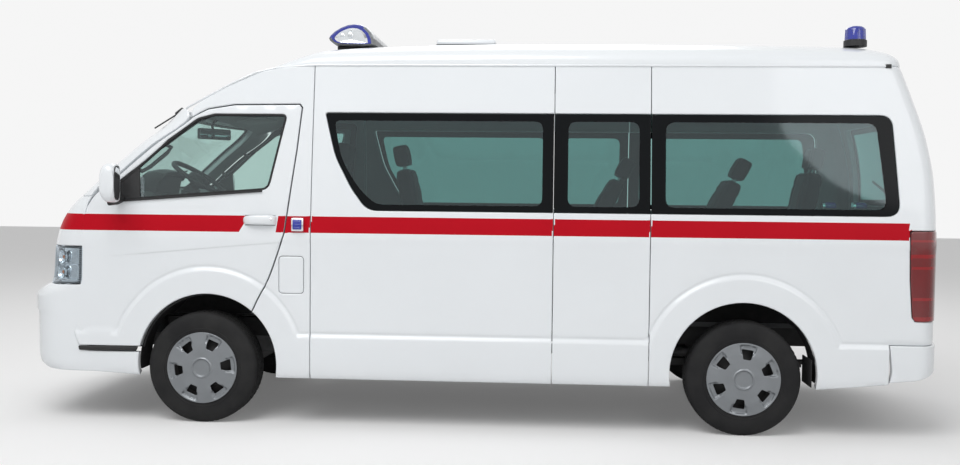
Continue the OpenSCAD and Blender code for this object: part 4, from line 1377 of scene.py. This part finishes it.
def roof_fittings():
    bar = Parts()
    upper = [(-0.566, 2.262), (-0.572, 2.300), (-0.592, 2.338), (-0.628, 2.370), (-0.672, 2.388),
             (-0.715, 2.393),
             (-0.765, 2.388), (-0.815, 2.372), (-0.862, 2.348), (-0.895, 2.322), (-0.906, 2.306),
             (-0.900, 2.292),
             (-0.878, 2.276), (-0.840, 2.266), (-0.76, 2.262), (-0.66, 2.260)]
    ring = [(BAR_FRONT + (x + 0.906) * 0.868, z) for x, z in divided(upper, 0.014)]
    spine = (-0.801, 2.285)
    stations = ((-BAR_Y, 0.84), (-BAR_Y + 0.0095, 0.94), (-BAR_Y + 0.03, 0.985), (-BAR_Y + 0.06, 1.0),
                (-0.16, 1.0),
                (0.0, 1.0), (0.16, 1.0), (BAR_Y - 0.06, 1.0), (BAR_Y - 0.03, 0.985), (BAR_Y - 0.0095, 0.94),
                (BAR_Y, 0.84))
    rings = [[(spine[0] + (x - spine[0]) * k, y, spine[1] + (z - spine[1]) * k) for x, z in ring]
             for y, k in stations]

    def bar_paint(p):
        if p[2] < 2.304:
            return grey_plastic
        if p[0] > -0.731 + (2.39 - p[2]) * 0.3:
            return silver
        if abs(p[1]) < 0.16:
            return silver
        return lens_blue

    bar.loft(rings, bar_paint, caps=False)
    for side in (-1, 1):
        for shrink_to, next_to, y0, y1, kind in ((0.84, 0.70, BAR_Y, BAR_Y + 0.0002, lens_blue),
                                                 (0.70, 0.60, BAR_Y + 0.0002, BAR_Y - 0.0045, chrome),
                                                 (0.60, 0.02, BAR_Y - 0.0045, BAR_Y - 0.0095, reflector)):
            bar.loft([[(spine[0] + (x - spine[0]) * k, side * y,
                        spine[1] + 0.008 * (1 - k) + (z - spine[1]) * k)
                       for x, z in ring] for k, y in ((shrink_to, y0), (next_to, y1))], kind, caps=False)
        for x, z, r in ((-0.853, 2.318, 0.016), (-0.805, 2.322, 0.020), (-0.797, 2.352, 0.013)):
            bar.lathe([(0, r), (0.003, r * 0.9), (0.006, r * 0.5)], (x, side * (BAR_Y - 0.0085), z),
                      (0, side, 0),
                      reflector, 20)
    for y in (-0.32, 0.0, 0.32):
        bar.box((-0.90, y - 0.05, 2.205), (-0.70, y + 0.05, 2.264), trim, 0.006)
    whole = bar.done("light_bar", "body")
    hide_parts("light_bar")
    vent = Parts()
    vent.box((-0.306, -0.23, 2.262), (0.09, 0.23, 2.292), paint, 0.010)
    vent.box((-0.296, -0.22, 2.290), (0.080, 0.22, 2.3285), paint, 0.016)
    vent.box((-0.298, -0.222, 2.286), (0.082, 0.222, 2.296), trim, 0.003)
    vented = vent.done("roof_vent", "body")
    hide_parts("roof_vent")
    lamps = Parts()
    for y in (-0.55, 0.55):
        crown = 2.236
        lamps.lathe([(0.0, 0.066), (0.034, 0.066), (0.038, 0.062)], (2.2095, y, crown), (0, 0, 1), trim, 40)
        lamps.lathe([(0.036, 0.060), (0.096, 0.056), (0.108, 0.052), (0.116, 0.040), (0.120, 0.02)],
                    (2.2095, y, crown), (0, 0, 1), lens_blue, 40)
        for k in range(12):
            t = 2 * math.pi * k / 12
            lamps.tube([(2.2095 + 0.0585 * math.cos(t), y + 0.0585 * math.sin(t), crown + 0.04),
                        (2.2095 + 0.0555 * math.cos(t), y + 0.0555 * math.sin(t), crown + 0.10)],
                        0.0028, lens_blue, 6)
    for side in (-1, 1):
        low_x, high_x = -1.045, -0.972
        lamps.box((low_x, side * 0.9455 - 0.009, 1.125), (high_x, side * 0.9455 + 0.009, 1.203), chrome,
                  0.008)
        lamps.box((low_x + 0.008, side * 0.949 - 0.009, 1.133),
                  (high_x - 0.008, side * 0.949 + 0.009, 1.195), lens_blue, 0.012)
        for z in (1.146, 1.164, 1.182):
            lamps.box((low_x + 0.012, side * 0.9505 - 0.0085, z - 0.003),
                      (high_x - 0.012, side * 0.9505 + 0.0085, z + 0.003),
                      lens_blue, 0.003)
    blue = lamps.done("blue_lamps", "body")
    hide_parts("blue_lamps")


roof_fittings()

# ---- wheels ----

WHEELS = [("front_left", -1.575, -1, 6.5), ("front_right", -1.575, 1, 6.5),
          ("rear_left", 1.535, -1, 22.0), ("rear_right", 1.535, 1, 22.0)]
WHEEL_Y, HUB_Z = 0.825, 0.322
COVER_R = 0.207
# Half of the tyre's section from the bead to the middle of the tread: distance from its centre plane, radius
TYRE_HALF = [(0.080, 0.191), (0.090, 0.196), (0.0935, 0.206), (0.0945, 0.222), (0.0965, 0.224),
             (0.0970, 0.229),
             (0.0955, 0.231), (0.0972, 0.245), (0.0974, 0.262), (0.0960, 0.280), (0.0925, 0.296),
             (0.0880, 0.307),
             (0.0820, 0.3145), (0.0740, 0.3200), (0.0620, 0.3235), (0.0490, 0.3245), (0.0475, 0.3175),
             (0.0425, 0.3175),
             (0.0410, 0.3248), (0.0180, 0.3250), (0.0165, 0.3178), (0.0115, 0.3178), (0.0100, 0.3250),
             (0.0, 0.3250)]
TREAD_PITCHES = 62


def make_tyre(name, x, side):
    section = [(a, r) for a, r in TYRE_HALF] + [(-a, r) for a, r in TYRE_HALF[-2::-1]]
    steps = TREAD_PITCHES * 4
    rings = []
    for k in range(steps):
        t = 2 * math.pi * k / steps
        ring = []
        for a, r in section:
            slot_here = (k + (2 if a < 0 else 0)) % 4 == 0
            cut = 0.004 if slot_here and 0.045 < abs(a) < 0.070 and r > 0.31 else 0.0
            cut = 0.004 if (k + 1) % 4 == 0 and 0.012 > abs(a) else cut
            ring.append((x + (r - cut) * math.cos(t), side * WHEEL_Y + a, HUB_Z + (r - cut) * math.sin(t)))
        rings.append(ring)
    tyre = Parts()
    rings.append(rings[0])
    tyre.loft(rings, tyre_rubber, caps=False)
    tyre.lathe([(-0.080, 0.192), (0.080, 0.192), (0.080, 0.187), (-0.080, 0.187), (-0.080, 0.192)],
               (x, side * WHEEL_Y, HUB_Z), (0, 1, 0), chassis, 64, False)
    made = tyre.done(f"tyre_{name}", f"wheel_{name}", (), 28)
    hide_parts(f"tyre_{name}")


def cover_surface(x, side, phase):
    """Domed wheel cover, dished towards the rim beyond each opening, with a raised ring round its middle."""
    def surface(u, v):
        r = np.hypot(u, v)
        angle = np.degrees(np.arctan2(v, u)) - phase
        sector = np.abs((angle + 30) % 60 - 30)
        out = 0.0985 + 0.0055 * smooth_step((COVER_R - r) / 0.075)
        out = out + 0.004 * np.exp(-((r - 0.054) / 0.0035) ** 2) - 0.006 * smooth_step((0.052 - r) / 0.006)
        dish = smooth_step((15.5 - sector) / 3.0) * smooth_step((r - 0.140) / 0.02)
        out = out - 0.016 * dish * smooth_step((0.199 - r) / 0.012)
        return np.stack([x + u, side * (WHEEL_Y + out), HUB_Z + v], -1)
    return surface


def make_wheel(name, x, side, phase):
    body = f"wheel_{name}"
    circle = arc_points(0, 0, COVER_R, 0, 356, 89)
    holes, lines = [], []
    for k in range(6):
        t = math.radians(phase + 60 * k)
        corners = [(0.113, -0.021), (0.168, -0.035), (0.168, 0.035), (0.113, 0.021)]
        holes.append(rounded([(r * math.cos(t) - w * math.sin(t), r * math.sin(t) + w * math.cos(t))
                              for r, w in corners], 0.008))
    for r in (0.046, 0.0505, 0.054, 0.0575, 0.187, 0.198):
        lines.append(arc_points(0, 0, r, 0, 355, 71))
    cover = panel(f"wheel_cover_{name}", circle, cover_surface(x, side, phase), 0.008, [silver] * 4, body,
                  holes, 0.0085, lines, edge=0.0012, back_index=None)
    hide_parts(f"rim_{name}")
    inner = Parts()
    hub = (x, side * WHEEL_Y, HUB_Z)
    out = (0, side, 0)
    inner.lathe([(0.056, 0.02), (0.056, 0.09), (0.040, 0.12), (0.030, 0.165), (0.045, 0.188),
                 (0.030, 0.188),
                 (0.020, 0.165), (0.030, 0.12), (0.046, 0.09), (0.046, 0.02)], hub, out, chassis, 64)
    inner.lathe([(-0.030, 0.075), (0.048, 0.065), (0.060, 0.045), (0.062, 0.02)], hub, out, casting, 40)
    inner.done(f"wheel_disc_{name}", body)
    make_tyre(name, x, side)


for wheel in WHEELS:
    make_wheel(*wheel)

flaps = Parts()
for side in (-1, 1):
    flaps.box((1.905, side * 0.815 - 0.105, 0.285), (1.912, side * 0.815 + 0.105, 0.440), liner, 0.003)
flaps.done("mudflaps", "body")

# ---- cab ----


def dash_ring(y):
    outline = [(-2.40, 1.06), (-2.10, 0.97), (-1.985, 0.985), (-1.925, 1.06), (-1.905, 1.17),
               (-1.925, 1.305),
               (-1.985, 1.342), (-2.08, 1.365), (-2.24, 1.368), (-2.38, 1.335), (-2.44, 1.27)]
    ring = []
    for x, z in divided(rounded(outline, 0.03), 0.05):
        front = float(front_at(np.array(y), np.array(z))[0]) + 0.075
        ring.append((max(x, front), y, z))
    return ring


def make_dash():
    dash = Parts()
    dash.loft([dash_ring(y) for y in np.linspace(-0.815, 0.815, 25)], plastic)
    hood = [(-2.14, 1.352), (-2.10, 1.425), (-2.04, 1.472), (-1.97, 1.486), (-1.905, 1.468), (-1.90, 1.450),
            (-1.93, 1.442), (-1.955, 1.33), (-2.05, 1.33)]
    rings = []
    for k, (y, grow) in enumerate(((-0.615, 0.70), (-0.60, 0.88), (-0.56, 0.97), (-0.42, 1.0),
                                   (-0.28, 0.97), (-0.24, 0.88),
                                   (-0.225, 0.70))):
        rings.append([(-2.0 + (x + 2.0) * grow, y, 1.34 + (z - 1.34) * grow)
                      for x, z in rounded(hood, 0.02)])
    dash.loft(rings, plastic_dark)
    dash.box((-1.940, -0.60, 1.24), (-1.905, -0.24, 1.335), plastic_dark, 0.012)
    dash.box((-1.935, -0.14, 1.06), (-1.898, 0.14, 1.29), plastic_dark, 0.012)
    dash.box((-1.905, -0.115, 1.195), (-1.895, 0.115, 1.265), silver, 0.006)
    for y in (-0.07, 0.0, 0.07):
        dash.lathe([(0, 0.017), (0.014, 0.015), (0.016, 0.012)], (-1.899, y, 1.120), (1, 0, 0), silver, 24)
    for y in (-0.70, 0.25, 0.70):
        dash.box((-1.925, y - 0.055, 1.245), (-1.898, y + 0.055, 1.305), plastic_dark, 0.008)
        for k in range(4):
            dash.box((-1.900, y - 0.047, 1.256 + 0.0125 * k), (-1.895, y + 0.047, 1.259 + 0.0125 * k),
                     trim, 0.001)
    dash.box((-1.918, 0.34, 1.03), (-1.900, 0.62, 1.145), plastic, 0.012)
    whole = dash.done("dashboard", "body")
    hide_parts("dashboard")


def steering():
    centre = Vector((-1.760, -0.420, 1.430))
    axis = Vector((0.529919, 0, 0.848048))
    across = Vector((0, 1, 0))
    upright = axis.cross(across)
    spot = lambda r, t, out=0.0: centre + axis * out + r * (across * math.cos(t) + upright * math.sin(t))
    wheel = Parts()
    wheel.tube([spot(0.180, 2 * math.pi * k / 64) for k in range(64)], 0.0145, plastic_dark, 14,
               closed=True)
    wheel.lathe([(-0.045, 0.055), (-0.012, 0.070), (0.006, 0.066), (0.016, 0.045), (0.018, 0.02)],
                centre, axis,
                plastic_dark, 40)
    for t in (math.radians(200), math.radians(-20), math.radians(90)):
        t = t + math.pi
        wheel.tube([spot(0.05, t, -0.012), spot(0.12, t, -0.014), spot(0.172, t, -0.002)], 0.016,
                   plastic_dark, 12,
                   flat=0.55)
    wheel.lathe([(-0.045, 0.030), (-0.36, 0.030)], centre, axis, plastic_dark, 32)
    whole = wheel.done("steering_wheel", "steering_wheel")
    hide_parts("steering_wheel")
    stalks = Parts()
    hub = centre - axis * 0.075
    stalks.lathe([(0.0, 0.044), (-0.02, 0.050), (-0.16, 0.050)], hub, axis, plastic_dark, 32)
    for side in (-1, 1):
        stalks.tube([hub - axis * 0.03, hub - axis * 0.03 + Vector((0.0, side * 0.16, 0.01))], 0.008,
                    plastic_dark, 10)
    stalks.done("column_stalks", "body")


def cab_fittings():
    fit = Parts()
    fit.box((-1.8155, -0.125, 1.694), (-1.7925, 0.125, 1.766), plastic_dark, 0.011, ("Z", -40))
    fit.box((-1.7966, -0.1235, 1.702), (-1.7936, 0.1065, 1.758), mirror_glass, 0.001, ("Z", -40))
    fit.tube([(-1.812, 0.006, 1.745), (-1.822, 0.008, 1.79), (-1.790, 0.0, 1.825)], 0.009, plastic_dark, 10)
    for side in (-1, 1):
        low = face_point(nose_face, side * v_of_x(-2.02, 1.50), 1.50, -0.055)
        high = face_point(nose_face, side * v_of_x(-1.86, 1.66), 1.66, -0.055)
        inward = Vector((0.035, -side * 0.045, -0.02))
        fit.tube([low, low + inward, low * 0.8 + high * 0.2 + inward * 1.2,
                  low * 0.2 + high * 0.8 + inward * 1.2,
                  high + inward, high], 0.012, plastic_dark, 10)
        fit.box((-1.70, side * 0.30 - 0.17, 1.832), (-1.50, side * 0.30 + 0.17, 1.850), lining, 0.007,
                ("Y", -8))
    fit.done("cab_fittings", "body")
    sill_lamps = Parts()
    for x in (2.02, 2.19):
        sill_lamps.box((x - 0.055, -0.835, 1.262), (x + 0.055, -0.775, 1.292), trim, 0.006)
        sill_lamps.lathe([(0, 0.026), (0.05, 0.026), (0.062, 0.018)], (x - 0.03, -0.805, 1.300),
                         (1, 0, 0), lens_blue, 24)
        sill_lamps.lathe([(0, 0.026), (0.014, 0.026)], (x - 0.046, -0.805, 1.300), (1, 0, 0), chrome, 24)
    sill_lamps.done("window_lamps", "body")


make_dash()
steering()
cab_fittings()

# ---- seats ----

cloth_black = worn_material("seat_cloth_black", (0.014, 0.014, 0.016), 0.9, 0.2, 60, 0.0005, 500)


def cushion(name, foot, lean, low, high, insert, front, facing=1, channels=()):
    """A stuffed form between two corners given from foot, leant back about it. front is the crowned face."""
    low, high = np.array(low), np.array(high)
    centre, half = (low + high) / 2, (high - low) / 2
    n = 18
    spin = Matrix.Rotation(math.radians(lean), 3, "Y")
    crowned = 2 if front == "top" else 0

    def place(a, b, c):
        q = (abs(a) ** 6 + abs(b) ** 6 + abs(c) ** 6) ** (1 / 6)
        p = np.array([a, b, c]) / q
        wide = [i for i in range(3) if i != crowned]
        flat = (1 - p[wide[0]] ** 2) * (1 - p[wide[1]] ** 2)
        p = p.copy()
        grow = 1 + 0.16 * flat
        out = p * half
        out[crowned] *= grow
        for i in wide:
            other = wide[1] if i == wide[0] else wide[0]
            out[i] *= 1 - 0.035 * (1 - p[other] ** 2)
        along = p[wide[0]] if crowned == 2 else p[2]
        dip = sum(math.exp(-((along - at) / 0.05) ** 2) for at in channels)
        dip += sum(math.exp(-((p[1] - s * insert) / 0.05) ** 2) for s in (-1, 1))
        out[crowned] -= np.sign(p[crowned]) * 0.008 * min(1, dip) * smooth_step(abs(p[crowned]) * 2 - 0.9)
        spot = spin @ Vector(centre + out)
        return Vector((foot[0] + facing * spot[0], foot[1] + spot[1], foot[2] + spot[2]))

    index, verts, faces, kinds = {}, [], [], []

    def vert(key):
        if key not in index:
            index[key] = len(verts)
            verts.append(place(*[2 * k / n - 1 for k in key]))
        return index[key]

    for axis in range(3):
        for end in (0, n):
            for i in range(n):
                for j in range(n):
                    keys = []
                    for di, dj in ((0, 0), (1, 0), (1, 1), (0, 1)):
                        key = [0, 0, 0]
                        key[axis] = end
                        key[(axis + 1) % 3], key[(axis + 2) % 3] = i + di, j + dj
                        keys.append(tuple(key))
                    faces.append(tuple(vert(k) for k in keys))
                    across = sum(k[1] for k in keys) / 4
                    shown = end == (n if front == "top" else 0)
                    kinds.append(axis == crowned and shown and abs(2 * across / n - 1) < insert)
    parts = Parts()
    parts.add(verts, [f for f, k in zip(faces, kinds) if not k], cloth_black)
    parts.add(verts, [f for f, k in zip(faces, kinds) if k], cloth)
    rim = []
    for k in range(4 * n):
        edge, t = divmod(k, n)
        t = 2 * t / n - 1
        a, b = ((t, -1), (1, t), (-t, 1), (-1, -t))[edge]
        face = 0.86 if front == "top" else -0.86
        rim.append(place(a, b, face) if crowned == 2 else place(face, a, b))
    parts.tube(rim, 0.0035, trim, 6, closed=True)
    piece = parts.done(name, "body", (), 60)
    shape = bmesh.new()
    shape.from_mesh(piece.data)
    bmesh.ops.remove_doubles(shape, verts=shape.verts[:], dist=1e-5)
    shape.to_mesh(piece.data)
    shape.free()
    return piece


def seat(name, node, x, y, base, width, lean, facing=1):
    half = width / 2
    foot = (x, y, base)
    first = cushion(f"{name}_cushion", foot, 0, (-0.25, -half, 0.0), (0.25, half, 0.13), 0.58, "top",
                    facing=facing,
                    channels=(-0.35, 0.3))
    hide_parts(node)
    back_foot = (x + facing * 0.20, y, base + 0.10)
    cushion(f"{name}_back", back_foot, lean, (0.0, -half, 0.02), (0.11, half, 0.545), 0.58, "front",
            facing=facing,
            channels=(-0.45, 0.15, 0.6))
    cushion(f"{name}_headrest", back_foot, lean, (0.012, -0.13, 0.565), (0.105, 0.13, 0.712), 0.70,
            "front", facing=facing)
    stand = Parts()
    for s in (-1, 1):
        spin = Matrix.Rotation(math.radians(lean), 3, "Y")
        ends = [spin @ Vector((0.058, s * 0.05, h)) for h in (0.53, 0.60)]
        stand.tube([(back_foot[0] + facing * e.x, y + e.y, back_foot[2] + e.z) for e in ends], 0.006,
                   chrome, 10)
        stand.lathe([(0, 0.045), (0.022, 0.045), (0.026, 0.038)],
                    (x + facing * 0.205, y + s * (half - 0.004), base + 0.10),
                    (0, s, 0), plastic_dark, 28)
    drop = 0.11 if node == "front_seats" else 0.30
    stand.box((x - 0.18, y - 0.18, base - drop), (x + 0.18, y + 0.035 if drop > 0.2 else y + 0.18,
                                                  base + 0.015),
              plastic_dark, 0.012)
    stand.done(f"{name}_stand", "body")


for side, name in ((-1, "driver"), (1, "passenger")):
    seat(f"{name}_seat", "front_seats", -1.39, side * 0.42, 0.91, 0.50, 12)
for number, (x, lean) in enumerate(((0.40, 28), (1.19, 28), (1.85, 12))):
    seat(f"rear_seat_{number + 1}", "rear_seats", x, 0.50, 0.90, 0.45, lean)
seat("attendant_seat", "rear_seats", -0.22, 0.50, 0.90, 0.45, 12, -1)

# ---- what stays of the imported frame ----

FINISHES = {
    "floor_pan": underside, "chassis_frame": chassis, "engine": casting, "exhaust": steel,
    "fuel_tank": tank,
    "rear_axle": chassis, "propeller_shaft": casting, "front_suspension": chassis, "knuckle_left": casting,
    "knuckle_right": casting, "arch_liners": liner,
}
for node, finish in FINISHES.items():
    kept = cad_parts[node]
    if not kept.material_slots:
        kept.data.materials.append(finish)
    for place_in in kept.material_slots:
        place_in.material = finish

# ---- studio ----


SKY_LIGHT = 0.44
# Name, place, turn in degrees, diameter and power of each lamp
LAMPS = [("key", (-2.5, -6.0, 8.5), (35, 0, -15), 7.0, 520.0),
         ("fill", (5.5, -7.5, 4.5), (62, 0, 38), 5.0, 110.0),
         ("back", (0.0, 6.5, 7.0), (-42, 0, 0), 6.0, 170.0)]


def studio():
    bpy.ops.mesh.primitive_plane_add(size=60, location=(0, 0, 0))
    floor = bpy.context.object
    floor.name = "studio_floor"
    made, tree, shader = new_material("floor_pale", (0.80, 0.80, 0.80), 0.9)
    floor.data.materials.append(made)
    glow = tree.nodes.new("ShaderNodeMath")
    glow.operation = "MULTIPLY"
    glow.inputs[1].default_value = 0.12
    tree.links.new(tree.nodes.new("ShaderNodeLightPath").outputs["Is Camera Ray"], glow.inputs[0])
    shader.inputs["Emission Color"].default_value = (1, 1, 1, 1)
    tree.links.new(glow.outputs["Value"], shader.inputs["Emission Strength"])
    world = bpy.data.worlds.new("studio")
    bpy.context.scene.world = world
    world.use_nodes = True
    tree = world.node_tree
    sky = tree.nodes["Background"]
    sky.inputs["Color"].default_value = (1.0, 1.0, 1.0, 1)
    rays = tree.nodes.new("ShaderNodeLightPath")
    seen = None
    for kind in ("Is Camera Ray", "Is Glossy Ray", "Is Transmission Ray"):
        if seen is None:
            seen = rays.outputs[kind]
            continue
        either = tree.nodes.new("ShaderNodeMath")
        either.operation = "MAXIMUM"
        tree.links.new(seen, either.inputs[0])
        tree.links.new(rays.outputs[kind], either.inputs[1])
        seen = either.outputs["Value"]
    level = tree.nodes.new("ShaderNodeMapRange")
    level.inputs["To Min"].default_value = SKY_LIGHT
    level.inputs["To Max"].default_value = 0.92
    tree.links.new(seen, level.inputs["Value"])
    tree.links.new(level.outputs["Result"], sky.inputs["Strength"])
    for name, place, turn, size, power in LAMPS:
        lamp = bpy.data.lights.new(name, "AREA")
        lamp.shape = "DISK"
        lamp.size = size
        lamp.energy = power
        holder = bpy.data.objects.new(name, lamp)
        holder.location = place
        holder.rotation_euler = [math.radians(a) for a in turn]
        bpy.context.scene.collection.objects.link(holder)


studio()
bpy.context.scene.view_settings.view_transform = "Standard"
